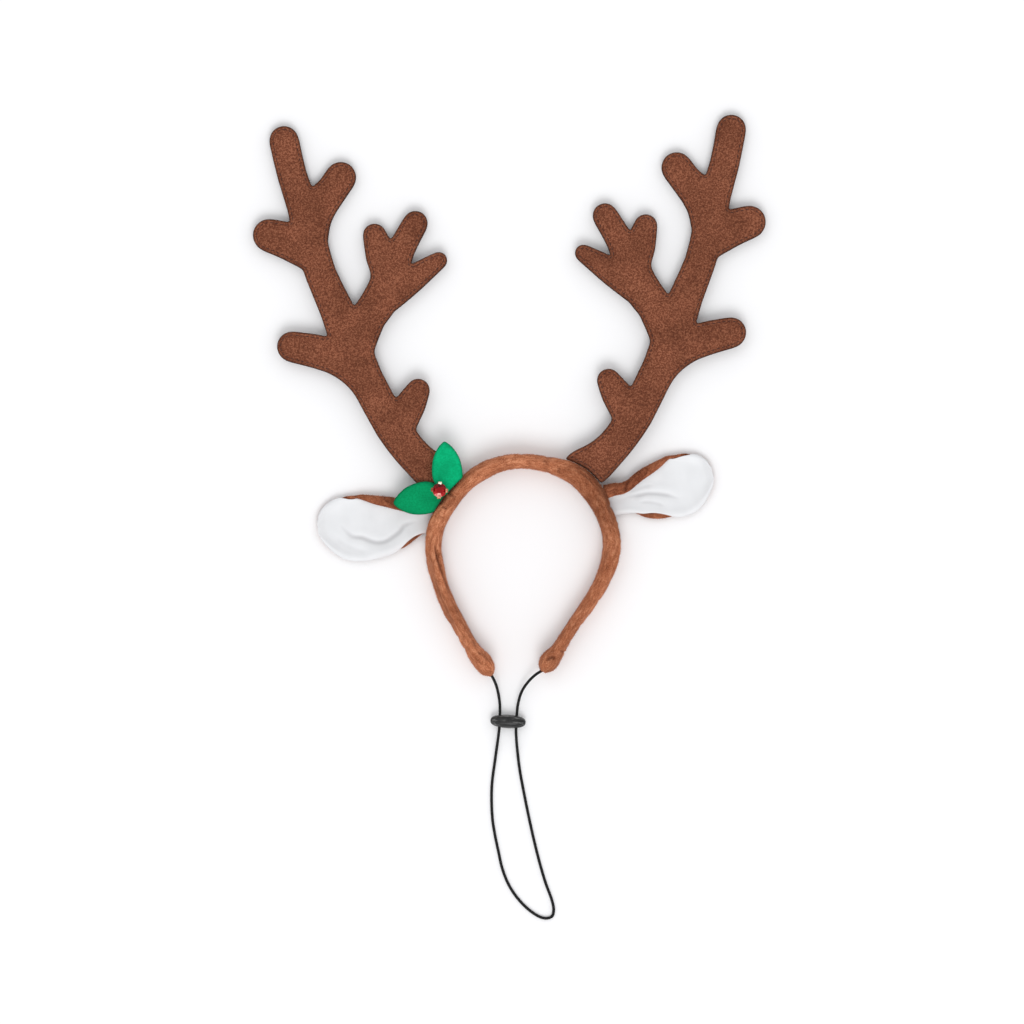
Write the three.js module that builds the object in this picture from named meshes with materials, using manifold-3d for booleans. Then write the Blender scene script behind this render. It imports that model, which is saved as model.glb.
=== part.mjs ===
// A pet headband: a padded plush band with two felt antlers, two lined ears, a holly sprig with a red stone,
// and an elastic chin cord with a slider. It lies flat on a surface, as it does before it is worn.
// Millimetres. X runs across the head, Y from the chin up to the antler tips, Z up from the surface.
// The origin is on the underside of the band, in the middle of its thickness at the crown of the arch.
import * as THREE from 'three';
import { mergeVertices } from 'three/addons/utils/BufferGeometryUtils.js';
import Module from 'manifold-3d';

const wasm = await Module();
wasm.setup();

// Fits
const CLEARANCE = 0.3;            // between pieces that touch
const CORD_HOLE_CLEARANCE = 0.35; // round the cord in its slider

// Band
const BAND_HALF_SPAN = 34.65;     // from the middle line of the head to the band's own centreline
const BAND_DROP = 81.1;           // from the crown down to the ends
const BAND_THICKNESS = 6.2;       // padded, seen from above
const BAND_WIDTH = 12.0;          // along Z
const BAND_SQUARENESS = 3.0;      // exponent of the section: 2 is an ellipse, more is squarer
const BAND_SOLE = 0.93;           // where the flat underside cuts the section, as a share of half the width
const BAND_SECTION_POINTS = 14;
const BAND_RINGS = 58;

// The band from its left end over the crown to its right end: across is a share of the half span, down of the
// drop, thick of the thickness and tall of the width. The ends are gathered into small bulbs.
const BAND_ROWS = [
  { across: -0.355, down: 1.020, thick: 0.45, tall: 0.45 },
  { across: -0.385, down: 1.002, thick: 0.92, tall: 0.84 },
  { across: -0.445, down: 0.964, thick: 1.18, tall: 1.0 },
  { across: -0.52, down: 0.926, thick: 1.03, tall: 1.0 },
  { across: -0.59, down: 0.880, thick: 0.86, tall: 0.98 },
  { across: -0.73, down: 0.770, thick: 0.88, tall: 1.0 },
  { across: -0.84, down: 0.684, thick: 0.93, tall: 1.0 },
  { across: -0.96, down: 0.536, thick: 0.95, tall: 1.0 },
  { across: -1.00, down: 0.421, thick: 0.95, tall: 1.0 },
  { across: -0.98, down: 0.335, thick: 1.00, tall: 1.0 },
  { across: -0.90, down: 0.253, thick: 0.98, tall: 1.0 },
  { across: -0.65, down: 0.112, thick: 0.95, tall: 1.0 },
  { across: -0.44, down: 0.047, thick: 1.02, tall: 1.0 },
  { across: -0.24, down: 0.012, thick: 0.92, tall: 1.0 },
  { across: 0, down: 0, thick: 0.86, tall: 1.0 },
  { across: 0.25, down: 0.013, thick: 0.94, tall: 1.0 },
  { across: 0.50, down: 0.045, thick: 1.18, tall: 1.0 },
  { across: 0.66, down: 0.086, thick: 1.33, tall: 1.0 },
  { across: 0.80, down: 0.153, thick: 1.32, tall: 1.0 },
  { across: 0.90, down: 0.230, thick: 1.15, tall: 1.0 },
  { across: 0.98, down: 0.325, thick: 1.06, tall: 1.0 },
  { across: 1.00, down: 0.411, thick: 1.06, tall: 1.0 },
  { across: 0.97, down: 0.488, thick: 1.03, tall: 1.0 },
  { across: 0.90, down: 0.571, thick: 0.96, tall: 1.0 },
  { across: 0.78, down: 0.660, thick: 0.85, tall: 1.0 },
  { across: 0.59, down: 0.775, thick: 0.76, tall: 1.0 },
  { across: 0.46, down: 0.854, thick: 0.80, tall: 0.98 },
  { across: 0.37, down: 0.907, thick: 0.97, tall: 1.0 },
  { across: 0.30, down: 0.950, thick: 1.16, tall: 1.0 },
  { across: 0.262, down: 0.985, thick: 0.98, tall: 0.86 },
  { across: 0.245, down: 1.004, thick: 0.50, tall: 0.45 },
];

// Antlers
const FELT_THICKNESS = 1.6;       // one layer
const BEAM_WIDTH = 12.8;
const LEFT_ANTLER_HEIGHT = 140.3;
const RIGHT_ANTLER_HEIGHT = 138.3;
const LEFT_ROOT_WIDTH = 15.2;
const RIGHT_ROOT_WIDTH = 17.4;
const ROOT_DEPTH = 2.4;           // how far the root reaches in past the band's outer edge before it is cut to it
const LIMB_STEPS = 2;             // pieces of outline from one row to the next
const TIP_STEPS = 7;              // pieces of outline round a tip

// at is the share of the way round the band from its left end, out how far the root's middle stands off the
// band's outer edge, turn how far the antler leans outwards, in degrees, and root how wide it is at the band.
const ANTLERS = [
  { side: 'left', mirror: -1, at: 0.366, out: 3.4, turn: 2.2, height: LEFT_ANTLER_HEIGHT, root: LEFT_ROOT_WIDTH },
  { side: 'right', mirror: 1, at: 0.603, out: -0.6, turn: 0, height: RIGHT_ANTLER_HEIGHT, root: RIGHT_ROOT_WIDTH },
];

// Each limb is a blade with a round tip. out and up are shares of the antler's height, wide of the beam's width.
// up is counted from the root at the band, and the last row is the middle of the round tip.
const ANTLER_LIMBS = {
  beam: [
    { out: 0.001, up: 0.000, wide: 1.32 },
    { out: 0.031, up: 0.020, wide: 1.20 },
    { out: 0.068, up: 0.053, wide: 1.06 },
    { out: 0.099, up: 0.088, wide: 1.03 },
    { out: 0.143, up: 0.154, wide: 1.06 },
    { out: 0.210, up: 0.289, wide: 1.03 },
    { out: 0.247, up: 0.381, wide: 1.15 },
    { out: 0.283, up: 0.482, wide: 1.03 },
    { out: 0.324, up: 0.583, wide: 0.94 },
    { out: 0.348, up: 0.679, wide: 0.97 },
    { out: 0.367, up: 0.771, wide: 0.94 },
    { out: 0.392, up: 0.856, wide: 0.89 },
    { out: 0.411, up: 0.954, wide: 0.90 },
  ],
  crownInner: [
    { out: 0.345, up: 0.675, wide: 0.96 },
    { out: 0.335, up: 0.748, wide: 1.12 },
    { out: 0.281, up: 0.816, wide: 0.94 },
    { out: 0.258, up: 0.847, wide: 0.94 },
  ],
  crownOuter: [
    { out: 0.331, up: 0.641, wide: 1.30 },
    { out: 0.412, up: 0.677, wide: 1.12 },
    { out: 0.462, up: 0.694, wide: 1.00 },
  ],
  lowerOuter: [
    { out: 0.188, up: 0.238, wide: 1.00 },
    { out: 0.210, up: 0.278, wide: 1.00 },
    { out: 0.247, up: 0.320, wide: 1.03 },
    { out: 0.300, up: 0.355, wide: 1.06 },
    { out: 0.410, up: 0.384, wide: 0.93 },
  ],
  lowerInner: [
    { out: 0.143, up: 0.129, wide: 1.09 },
    { out: 0.087, up: 0.216, wide: 0.91 },
    { out: 0.067, up: 0.250, wide: 0.72 },
  ],
  forkUpper: [
    { out: 0.244, up: 0.376, wide: 1.33 },
    { out: 0.195, up: 0.460, wide: 1.06 },
    { out: 0.153, up: 0.519, wide: 1.12 },
    { out: 0.142, up: 0.572, wide: 0.94 },
    { out: 0.155, up: 0.625, wide: 0.94 },
    { out: 0.171, up: 0.683, wide: 0.72 },
  ],
  forkMiddle: [
    { out: 0.126, up: 0.583, wide: 0.97 },
    { out: 0.097, up: 0.645, wide: 0.82 },
    { out: 0.057, up: 0.712, wide: 0.76 },
  ],
  forkLower: [
    { out: 0.146, up: 0.503, wide: 0.86 },
    { out: 0.077, up: 0.554, wide: 0.82 },
    { out: 0.034, up: 0.583, wide: 0.68 },
    { out: -0.004, up: 0.607, wide: 0.52 },
  ],
};

// Ears
const PLUSH_THICKNESS = 1.3;
const LINING_THICKNESS = 1.0;
const LEFT_EAR_LENGTH = 44.1;
const LEFT_EAR_WIDTH = 25.2;
const RIGHT_EAR_LENGTH = 41.6;
const RIGHT_EAR_WIDTH = 23.8;
const EAR_RIM_RISE = 1.7;         // how far the open rim stands above the belly of the ear
const EAR_FOLD_RISE = 5.6;        // how far the edge that is folded over stands above the belly, at the band
const EAR_RIM_CURVE = 4.4;        // how far in from the edge the rim starts to rise
const EAR_RIM_FOOT = 0.2;         // share of its rise that the rim has there
const EAR_FULL_WIDTH = 0.62;      // share of the width at which the rim has its whole rise
const EAR_FOLD_FADE = 0.33;       // share of the fold at the band under which the fold opens into a rim
const EAR_SECTION_POINTS = 12;
const EAR_RINGS = 19;

// Where the lining starts and ends across an ear, as shares of the way round the plush.
const LINING_START = 0.04;
const LINING_END_AT_FOLD = 0.52;
const LINING_END_AT_RIM = 0.95;

// turn is the way the ear points, in degrees above the sideways line.
const EARS = [
  { side: 'left', mirror: -1, at: 0.299, length: LEFT_EAR_LENGTH, width: LEFT_EAR_WIDTH, turn: -5 },
  { side: 'right', mirror: 1, at: 0.6655, length: RIGHT_EAR_LENGTH, width: RIGHT_EAR_WIDTH, turn: 14 },
];

// Sections of an ear from the band to its tip. along is a share of the length, the others are of the width:
// low and high are the two sides of the outline, and edge is where the folded upper side ends.
const EAR_ROWS = [
  { along: -0.06, low: -0.27, high: 0.23, edge: 0.02 },
  { along: 0.07, low: -0.27, high: 0.23, edge: 0.045 },
  { along: 0.14, low: -0.29, high: 0.23, edge: 0.065 },
  { along: 0.21, low: -0.34, high: 0.28, edge: 0.115 },
  { along: 0.28, low: -0.42, high: 0.345, edge: 0.175 },
  { along: 0.37, low: -0.475, high: 0.383, edge: 0.235 },
  { along: 0.47, low: -0.523, high: 0.413, edge: 0.292 },
  { along: 0.56, low: -0.550, high: 0.434, edge: 0.352 },
  { along: 0.65, low: -0.553, high: 0.445, edge: 0.405 },
  { along: 0.75, low: -0.525, high: 0.436, edge: 0.430 },
  { along: 0.86, low: -0.405, high: 0.390, edge: 0.390 },
  { along: 0.92, low: -0.295, high: 0.325, edge: 0.325 },
  { along: 0.97, low: -0.180, high: 0.230, edge: 0.230 },
  { along: 0.995, low: -0.075, high: 0.110, edge: 0.110 },
];

// The upper side of an ear's section, as an open rim and as a fold. The In columns are shares of the rim's curve in
// from the outline, foldBack is a share of the fold's reach, and the Up columns are shares of the rise.
const EAR_UPPER_SIDE = [
  { openIn: 1, openUp: 0.12, foldIn: 1, foldBack: 0, foldUp: 0.12 },
  { openIn: 0.62, openUp: 0.33, foldIn: 0, foldBack: 0, foldUp: 0.5 },
  { openIn: 0.3, openUp: 0.65, foldIn: 0, foldBack: 0.35, foldUp: 0.9 },
  { openIn: 0, openUp: 1, foldIn: 0, foldBack: 1, foldUp: 1 },
];

// Holly
const LEAF_THICKNESS = 1.2;
const LEAF_LENGTH = 20.6;
const LOWER_WIDTH = 12.6;
const UPPER_WIDTH = 11.8;
const LEAF_CREASE = 0.5;          // how far the middle of a leaf is sunk along its crease
const LEAF_COLUMNS = [-1, -0.5, 0, 0.5, 1];
const HOLLY_AT = 0.347;           // share of the way round the band where the sprig is sewn on
const HOLLY_OUT = 2.8;            // from the band's outer edge out to the stone

// from is where a leaf's base lies from the stone, along the way it points. turn is that way, in degrees from +X.
const LEAVES = [
  { name: 'holly_leaf_lower', length: LEAF_LENGTH, width: LOWER_WIDTH, turn: 190, from: -2.1, aside: 1.9, layer: 0 },
  { name: 'holly_leaf_upper', length: LEAF_LENGTH, width: UPPER_WIDTH, turn: 95.5, from: -2.1, aside: -3.6, layer: 1 },
];

// Half the outline of a leaf: along is a share of its length, wide of its width.
const LEAF_ROWS = [
  { along: 0.00, wide: 0.14 },
  { along: 0.08, wide: 0.28 },
  { along: 0.20, wide: 0.42 },
  { along: 0.35, wide: 0.50 },
  { along: 0.52, wide: 0.49 },
  { along: 0.68, wide: 0.435 },
  { along: 0.82, wide: 0.32 },
  { along: 0.93, wide: 0.175 },
  { along: 1.00, wide: 0.03 },
];

// Stone and its claw setting
const STONE_RADIUS = 2.6;
const STONE_TABLE_RADIUS = 1.5;
const STONE_CROWN = 1.0;
const STONE_GIRDLE = 0.25;
const STONE_PAVILION = 1.3;
const STONE_BASE_RADIUS = 0.9;
const STONE_SIDES = 8;
const SETTING_FLOOR = 0.5;
const SETTING_WALL = 0.35;
const SETTING_RIM = 0.3;          // share of the pavilion's height that stands in the cup
const SETTING_TURN = -4;          // the claws' turn from the X axis, in degrees
const CLAWS = 4;
const CLAW_WIDTH = 1.4;
const CLAW_THICKNESS = 0.4;
const CLAW_HOOK = 0.55;           // how far a claw reaches in over the stone's crown

// Chin cord and slider
const CORD_DIAMETER = 1.1;
const CORD_SIDES = 8;
const CORD_STEPS = 66;
const SLIDER_LENGTH = 13.7;
const SLIDER_DIAMETER = 5.2;
const SLIDER_HOLE_SPACING = 6.45;
const SLIDER_ROUNDNESS = 0.72;    // exponent of the bead's profile: 1 is an ellipse, less is blunter at its ends
const SLIDER_SIDES = 18;
const SLIDER_RINGS = 12;
const SLIDER_MIDDLE = new THREE.Vector2(-5.6, -101.0);
const SLIDER_TURN = -3.4;

// The cord's route from the band's left end, through the slider, round its loop on the surface and back to the
// band's right end, as x, y, z.
const CORD_ROUTE = [
  [-13.5, -81.0, 5.6],
  [-11.7, -83.6, 5.1],
  [-10.3, -86.6, 3.9],
  [-9.4, -90.0, 2.9],
  [-8.8, -94.2, 2.6],
  [-8.75, -98.2, 2.6],
  [-9.0, -103.6, 2.6],
  [-9.4, -107.2, 2.1],
  [-10.0, -111.4, 1.1],
  [-10.7, -116.5, 0.6],
  [-11.8, -124.9, 0.6],
  [-12.0, -131.5, 0.6],
  [-11.6, -139.3, 0.6],
  [-10.6, -145.5, 0.6],
  [-9.3, -151.7, 0.6],
  [-7.9, -157.9, 0.6],
  [-5.5, -164.1, 0.6],
  [-2.1, -169.4, 0.6],
  [1.9, -173.6, 0.6],
  [6.2, -176.6, 0.6],
  [9.0, -177.4, 0.6],
  [11.4, -176.7, 0.6],
  [12.1, -174.2, 0.6],
  [11.4, -170.4, 0.6],
  [9.1, -164.1, 0.6],
  [7.2, -157.9, 0.6],
  [4.8, -148.6, 0.6],
  [2.7, -139.3, 0.6],
  [0.8, -130.0, 0.6],
  [-1.0, -120.3, 0.6],
  [-1.9, -113.2, 0.9],
  [-2.4, -107.4, 2.1],
  [-2.5, -103.6, 2.6],
  [-2.2, -98.2, 2.6],
  [-1.7, -94.0, 2.7],
  [-0.3, -89.4, 3.2],
  [2.2, -85.6, 4.2],
  [5.3, -82.6, 5.2],
  [8.7, -80.6, 5.6],
];

const FELT = new THREE.MeshStandardMaterial({ color: 0x80482f, roughness: 0.95, metalness: 0 });
const PLUSH = new THREE.MeshStandardMaterial({ color: 0xb86a44, roughness: 0.9, metalness: 0 });
const LINING = new THREE.MeshStandardMaterial({ color: 0xecebee, roughness: 0.6, metalness: 0 });
const LEAF_FELT = new THREE.MeshStandardMaterial({ color: 0x0bac6e, roughness: 0.85, metalness: 0 });
const GOLD_TONE = new THREE.MeshStandardMaterial({ color: 0xd9b878, roughness: 0.3, metalness: 0.9 });
const RED_STONE = new THREE.MeshStandardMaterial({ color: 0xa00c08, roughness: 0.08, metalness: 0 });
const BLACK_ELASTIC = new THREE.MeshStandardMaterial({ color: 0x101010, roughness: 0.8, metalness: 0 });
const BLACK_PLASTIC = new THREE.MeshStandardMaterial({ color: 0x2d2d2d, roughness: 0.35, metalness: 0 });

const radians = THREE.MathUtils.degToRad;
const mix = THREE.MathUtils.lerp;
const UP = new THREE.Vector3(0, 0, 1);

function named(name, geometry, material) {
  const mesh = new THREE.Mesh(geometry, material);
  mesh.name = name;
  return mesh;
}

// A closed surface from points and triangles, with its faces turned outwards.
function closedSurface(points, triangles) {
  let volume = 0;
  for (const [a, b, c] of triangles) {
    volume += points[a].dot(new THREE.Vector3().crossVectors(points[b], points[c]));
  }
  const faces = volume > 0 ? triangles : triangles.map(([a, b, c]) => [a, c, b]);
  const geometry = new THREE.BufferGeometry().setFromPoints(points);
  geometry.setIndex(faces.flat());
  return geometry;
}

// A solid through closed rings of equally many points, with a fan over each end.
function loftedRod(rings) {
  const count = rings[0].length;
  const points = rings.flat();
  const triangles = [];
  for (let ring = 0; ring + 1 < rings.length; ring++) {
    for (let i = 0; i < count; i++) {
      const a = ring * count + i;
      const b = ring * count + ((i + 1) % count);
      triangles.push([a, b, b + count], [a, b + count, a + count]);
    }
  }
  for (const end of [0, rings.length - 1]) {
    const middle = new THREE.Vector3();
    rings[end].forEach((point) => middle.addScaledVector(point, 1 / count));
    points.push(middle);
    const fan = points.length - 1;
    for (let i = 0; i < count; i++) {
      const a = end * count + i;
      const b = end * count + ((i + 1) % count);
      triangles.push(end === 0 ? [b, a, fan] : [a, b, fan]);
    }
  }
  return closedSurface(points, triangles);
}

// A wall between an outer and an inner grid of points, closed along its four edges.
function loftedWall(outer, inner) {
  const rows = outer.length;
  const columns = outer[0].length;
  const points = [...outer.flat(), ...inner.flat()];
  const outside = (row, column) => row * columns + column;
  const inside = (row, column) => rows * columns + row * columns + column;
  const triangles = [];
  const quad = (a, b, c, d) => triangles.push([a, b, c], [a, c, d]);
  for (let r = 0; r + 1 < rows; r++) {
    for (let c = 0; c + 1 < columns; c++) {
      quad(outside(r, c), outside(r + 1, c), outside(r + 1, c + 1), outside(r, c + 1));
      quad(inside(r, c), inside(r, c + 1), inside(r + 1, c + 1), inside(r + 1, c));
    }
    const last = columns - 1;
    quad(outside(r, 0), inside(r, 0), inside(r + 1, 0), outside(r + 1, 0));
    quad(outside(r, last), outside(r + 1, last), inside(r + 1, last), inside(r, last));
  }
  for (let c = 0; c + 1 < columns; c++) {
    const last = rows - 1;
    quad(outside(0, c), outside(0, c + 1), inside(0, c + 1), inside(0, c));
    quad(outside(last, c), inside(last, c), inside(last, c + 1), outside(last, c + 1));
  }
  return closedSurface(points, triangles);
}

function solidOf(geometry) {
  const bare = geometry.clone();
  bare.deleteAttribute('normal');
  bare.deleteAttribute('uv');
  const welded = mergeVertices(bare, 1e-4);
  return new wasm.Manifold(new wasm.Mesh({
    numProp: 3,
    vertProperties: new Float32Array(welded.attributes.position.array),
    triVerts: new Uint32Array(welded.index.array),
  }));
}

function geometryOf(solid) {
  const mesh = solid.getMesh();
  const geometry = new THREE.BufferGeometry();
  geometry.setAttribute('position', new THREE.BufferAttribute(new Float32Array(mesh.vertProperties), 3));
  geometry.setIndex(new THREE.BufferAttribute(new Uint32Array(mesh.triVerts), 1));
  return geometry;
}

// A smooth curve through three columns of a table.
function curveThrough(rows, first, second, third) {
  return new THREE.CatmullRomCurve3(rows.map((row) => new THREE.Vector3(row[first], row[second], row[third] ?? 0)));
}

// Band
const bandLine = new THREE.CatmullRomCurve3(
  BAND_ROWS.map((row) => new THREE.Vector3(row.across * BAND_HALF_SPAN, -row.down * BAND_DROP, 0)),
);
const bandSizes = curveThrough(BAND_ROWS, 'thick', 'tall');
const BAND_MIDDLE = BAND_WIDTH / 2 * BAND_SOLE;

// The band's centreline point, outward direction and half thickness at a share of the way round it.
function bandStation(at) {
  const t = bandLine.getUtoTmapping(at);
  const along = bandLine.getTangent(t);
  return {
    point: bandLine.getPoint(t),
    along,
    outward: new THREE.Vector3(-along.y, along.x, 0),
    size: bandSizes.getPoint(t),
  };
}

function bandOuterEdge(at) {
  const { point, outward, size } = bandStation(at);
  return point.addScaledVector(outward, size.x * BAND_THICKNESS / 2);
}

// The rings of the band, grown by a margin where another piece is cut to fit round it.
function bandRings(margin) {
  const rings = [];
  for (let i = 0; i <= BAND_RINGS; i++) {
    const { point, along, outward, size } = bandStation(i / BAND_RINGS);
    const halfThick = size.x * BAND_THICKNESS / 2 + margin;
    const halfTall = size.y * BAND_WIDTH / 2 + margin;
    const endShift = i === 0 ? -margin : i === BAND_RINGS ? margin : 0;
    const ring = [];
    for (let k = 0; k < BAND_SECTION_POINTS; k++) {
      const angle = (k + 0.5) / BAND_SECTION_POINTS * 2 * Math.PI;
      const side = Math.sign(Math.cos(angle)) * Math.abs(Math.cos(angle)) ** (2 / BAND_SQUARENESS);
      const up = Math.sign(Math.sin(angle)) * Math.abs(Math.sin(angle)) ** (2 / BAND_SQUARENESS);
      const place = point.clone().addScaledVector(outward, side * halfThick).addScaledVector(along, endShift);
      place.z = Math.max(BAND_MIDDLE + up * halfTall, -margin);
      ring.push(place);
    }
    rings.push(ring);
  }
  return rings;
}

const bandCutter = solidOf(loftedRod(bandRings(CLEARANCE)));

// Cuts a piece, given in its own frame, back from the band, which it is sewn to.
function fittedToBand(solid, group) {
  group.updateMatrixWorld(true);
  const cutter = geometryOf(bandCutter).applyMatrix4(group.matrixWorld.clone().invert());
  return solid.subtract(solidOf(cutter));
}

// Antlers
function limbShape(rows, height, mirror) {
  const line = new THREE.CatmullRomCurve3(
    rows.map((row) => new THREE.Vector3(mirror * row.out * height, row.up * height, row.wide * BEAM_WIDTH / 2)),
  );
  const near = [];
  const far = [];
  const steps = (rows.length - 1) * LIMB_STEPS;
  let tip;
  for (let i = 0; i <= steps; i++) {
    const here = line.getPoint(i / steps);
    const tangent = line.getTangent(i / steps).setZ(0).normalize();
    const aside = new THREE.Vector2(-tangent.y, tangent.x);
    const middle = new THREE.Vector2(here.x, here.y);
    near.push(middle.clone().addScaledVector(aside, -here.z));
    far.unshift(middle.clone().addScaledVector(aside, here.z));
    tip = { middle, aside, along: new THREE.Vector2(tangent.x, tangent.y), radius: here.z };
  }
  const round = [];
  for (let i = 1; i < TIP_STEPS; i++) {
    const angle = i / TIP_STEPS * Math.PI;
    round.push(
      tip.middle.clone()
        .addScaledVector(tip.aside, -Math.cos(angle) * tip.radius)
        .addScaledVector(tip.along, Math.sin(angle) * tip.radius),
    );
  }
  return new THREE.Shape([...near, ...round, ...far]);
}

// The beam's first row, inside the band, straight in from the root.
function rootRow(antler, outward) {
  const reach = (antler.out + ROOT_DEPTH) / antler.height;
  return { out: -antler.mirror * outward.x * reach, up: -outward.y * reach, wide: antler.root / BEAM_WIDTH };
}

function antlerLayer(antler, outward) {
  const limbs = { ...ANTLER_LIMBS, beam: [rootRow(antler, outward), ...ANTLER_LIMBS.beam] };
  let layer = null;
  for (const rows of Object.values(limbs)) {
    const shape = limbShape(rows, antler.height, antler.mirror);
    const blade = solidOf(new THREE.ExtrudeGeometry(shape, { depth: FELT_THICKNESS, bevelEnabled: false }));
    layer = layer ? layer.add(blade) : blade;
  }
  return layer;
}

// Two felt layers sewn together. The root is at half the band's width and the tips rest on the surface.
const ANTLER_THICKNESS = 2 * FELT_THICKNESS + CLEARANCE;
const ANTLER_ROOT_HEIGHT = BAND_MIDDLE - ANTLER_THICKNESS / 2;

function makeAntler(antler) {
  const lean = new THREE.Group();
  lean.rotation.x = -Math.asin(ANTLER_ROOT_HEIGHT / antler.height);
  const seat = new THREE.Group();
  const { outward } = bandStation(antler.at);
  seat.position.copy(bandOuterEdge(antler.at)).addScaledVector(outward, antler.out).setZ(ANTLER_ROOT_HEIGHT);
  seat.rotation.z = radians(-antler.mirror * antler.turn);
  seat.add(lean);
  const layer = antlerLayer(antler, outward.applyAxisAngle(UP, -seat.rotation.z));
  for (const [face, height] of [['back', 0], ['front', FELT_THICKNESS + CLEARANCE]]) {
    const lift = new THREE.Group();
    lift.position.z = height;
    lean.add(lift);
    seat.updateMatrixWorld(true);
    const felt = fittedToBand(layer, lift);
    lift.add(named(`antler_${antler.side}_${face}`, geometryOf(felt), FELT));
  }
  return seat;
}

// Ears
const earSides = curveThrough(EAR_ROWS, 'low', 'high', 'edge');
const earLengthwise = curveThrough(EAR_ROWS, 'along', 'along');

// The middle of the plush across an ear: from the open lower rim along the belly and round the folded upper side.
function earSection(ear, share) {
  const sides = earSides.getPoint(share).multiplyScalar(ear.width);
  const low = sides.x;
  const high = sides.y;
  const foldReach = Math.max(high - sides.z, 0);
  const foldAtBand = (EAR_ROWS[0].high - EAR_ROWS[0].edge) * ear.width;
  const fold = Math.min(foldReach / foldAtBand, 1);
  const open = 1 - Math.min(fold / EAR_FOLD_FADE, 1);
  const narrow = Math.min((high - low) / (EAR_FULL_WIDTH * ear.width), 1);
  const curve = EAR_RIM_CURVE * narrow;
  const rim = EAR_RIM_RISE * narrow ** 2;
  const top = mix(rim, EAR_FOLD_RISE, fold);
  const upperSide = EAR_UPPER_SIDE.map((row) => [
    high - mix(row.foldIn, row.openIn, open) * curve - row.foldBack * foldReach,
    mix(row.foldUp, row.openUp, open) * top,
  ]);
  const belly = EAR_RIM_RISE - rim + PLUSH_THICKNESS / 2;
  const middle = [[low, rim], [low + curve, EAR_RIM_FOOT * rim], [(low + high) / 2, 0], ...upperSide]
    .map(([across, up]) => new THREE.Vector3(0, across, belly + up));
  return { line: new THREE.CatmullRomCurve3(middle), along: earLengthwise.getPoint(share).x * ear.length, open };
}

// One layer of an ear, between two distances in from the middle of the plush. The lining ends under the fold.
function earLayer(ear, near, far, isLining) {
  const outer = [];
  const inner = [];
  for (let i = 0; i < EAR_RINGS; i++) {
    const { line, along, open } = earSection(ear, i / (EAR_RINGS - 1));
    const start = isLining ? LINING_START : 0;
    const end = isLining ? mix(LINING_END_AT_FOLD, LINING_END_AT_RIM, open ** 3) : 1;
    const outerRow = [];
    const innerRow = [];
    for (let k = 0; k < EAR_SECTION_POINTS; k++) {
      const t = mix(start, end, k / (EAR_SECTION_POINTS - 1));
      const point = line.getPoint(t).setX(ear.mirror * along);
      const tangent = line.getTangent(t);
      const inward = new THREE.Vector3(0, -tangent.z, tangent.y);
      outerRow.push(point.clone().addScaledVector(inward, near));
      innerRow.push(point.clone().addScaledVector(inward, far));
    }
    outer.push(outerRow);
    inner.push(innerRow);
  }
  return loftedWall(outer, inner);
}

function makeEar(ear) {
  const group = new THREE.Group();
  group.position.copy(bandOuterEdge(ear.at));
  group.rotation.z = radians(ear.mirror * ear.turn);
  const half = PLUSH_THICKNESS / 2;
  const shell = solidOf(earLayer(ear, -half, half, false));
  const lining = solidOf(earLayer(ear, half + CLEARANCE, half + CLEARANCE + LINING_THICKNESS, true));
  group.add(
    named(`ear_${ear.side}_shell`, geometryOf(fittedToBand(shell, group)), PLUSH),
    named(`ear_${ear.side}_lining`, geometryOf(fittedToBand(lining, group)), LINING),
  );
  return group;
}

// Holly: two felt leaves, one over the other, on the root of the left antler.
const leafHalf = curveThrough(LEAF_ROWS, 'along', 'wide');
const HOLLY_HEIGHT = ANTLER_ROOT_HEIGHT + ANTLER_THICKNESS + CLEARANCE + LEAF_CREASE;
const STONE_SEAT = HOLLY_HEIGHT + LEAVES.length * (LEAF_THICKNESS + CLEARANCE);

function leafWall(leaf) {
  const bottom = [];
  const top = [];
  const steps = 2 * (LEAF_ROWS.length - 1);
  for (let i = 0; i <= steps; i++) {
    const half = leafHalf.getPoint(i / steps);
    const sunk = LEAF_CREASE * (1 - half.x);
    const bottomRow = [];
    const topRow = [];
    for (const side of LEAF_COLUMNS) {
      const point = new THREE.Vector3(half.x * leaf.length, side * half.y * leaf.width, sunk * (Math.abs(side) - 1));
      bottomRow.push(point);
      topRow.push(point.clone().setZ(point.z + LEAF_THICKNESS));
    }
    bottom.push(bottomRow);
    top.push(topRow);
  }
  return loftedWall(bottom, top);
}

function makeLeaf(leaf, stonePlace) {
  const group = new THREE.Group();
  const way = new THREE.Vector2(Math.cos(radians(leaf.turn)), Math.sin(radians(leaf.turn)));
  group.position.set(
    stonePlace.x + leaf.from * way.x - leaf.aside * way.y,
    stonePlace.y + leaf.from * way.y + leaf.aside * way.x,
    HOLLY_HEIGHT + leaf.layer * (LEAF_THICKNESS + CLEARANCE),
  );
  group.rotation.z = radians(leaf.turn);
  const felt = fittedToBand(solidOf(leafWall(leaf)), group);
  group.add(named(leaf.name, geometryOf(felt), LEAF_FELT));
  return group;
}

function ringAt(radius, height, turn) {
  const ring = [];
  for (let i = 0; i < STONE_SIDES; i++) {
    const angle = (i + turn) / STONE_SIDES * 2 * Math.PI;
    ring.push(new THREE.Vector3(radius * Math.cos(angle), radius * Math.sin(angle), height));
  }
  return ring;
}

// A round cut stone: a flat base, a pavilion, a girdle, and a crown of triangles up to an eight-sided table.
function stoneGeometry() {
  const girdle = SETTING_FLOOR + CLEARANCE + STONE_PAVILION;
  return loftedRod([
    ringAt(STONE_BASE_RADIUS, girdle - STONE_PAVILION, 0),
    ringAt(STONE_RADIUS, girdle, 0),
    ringAt(STONE_RADIUS, girdle + STONE_GIRDLE, 0),
    ringAt(STONE_TABLE_RADIUS, girdle + STONE_GIRDLE + STONE_CROWN, 0.5),
  ]);
}

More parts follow.
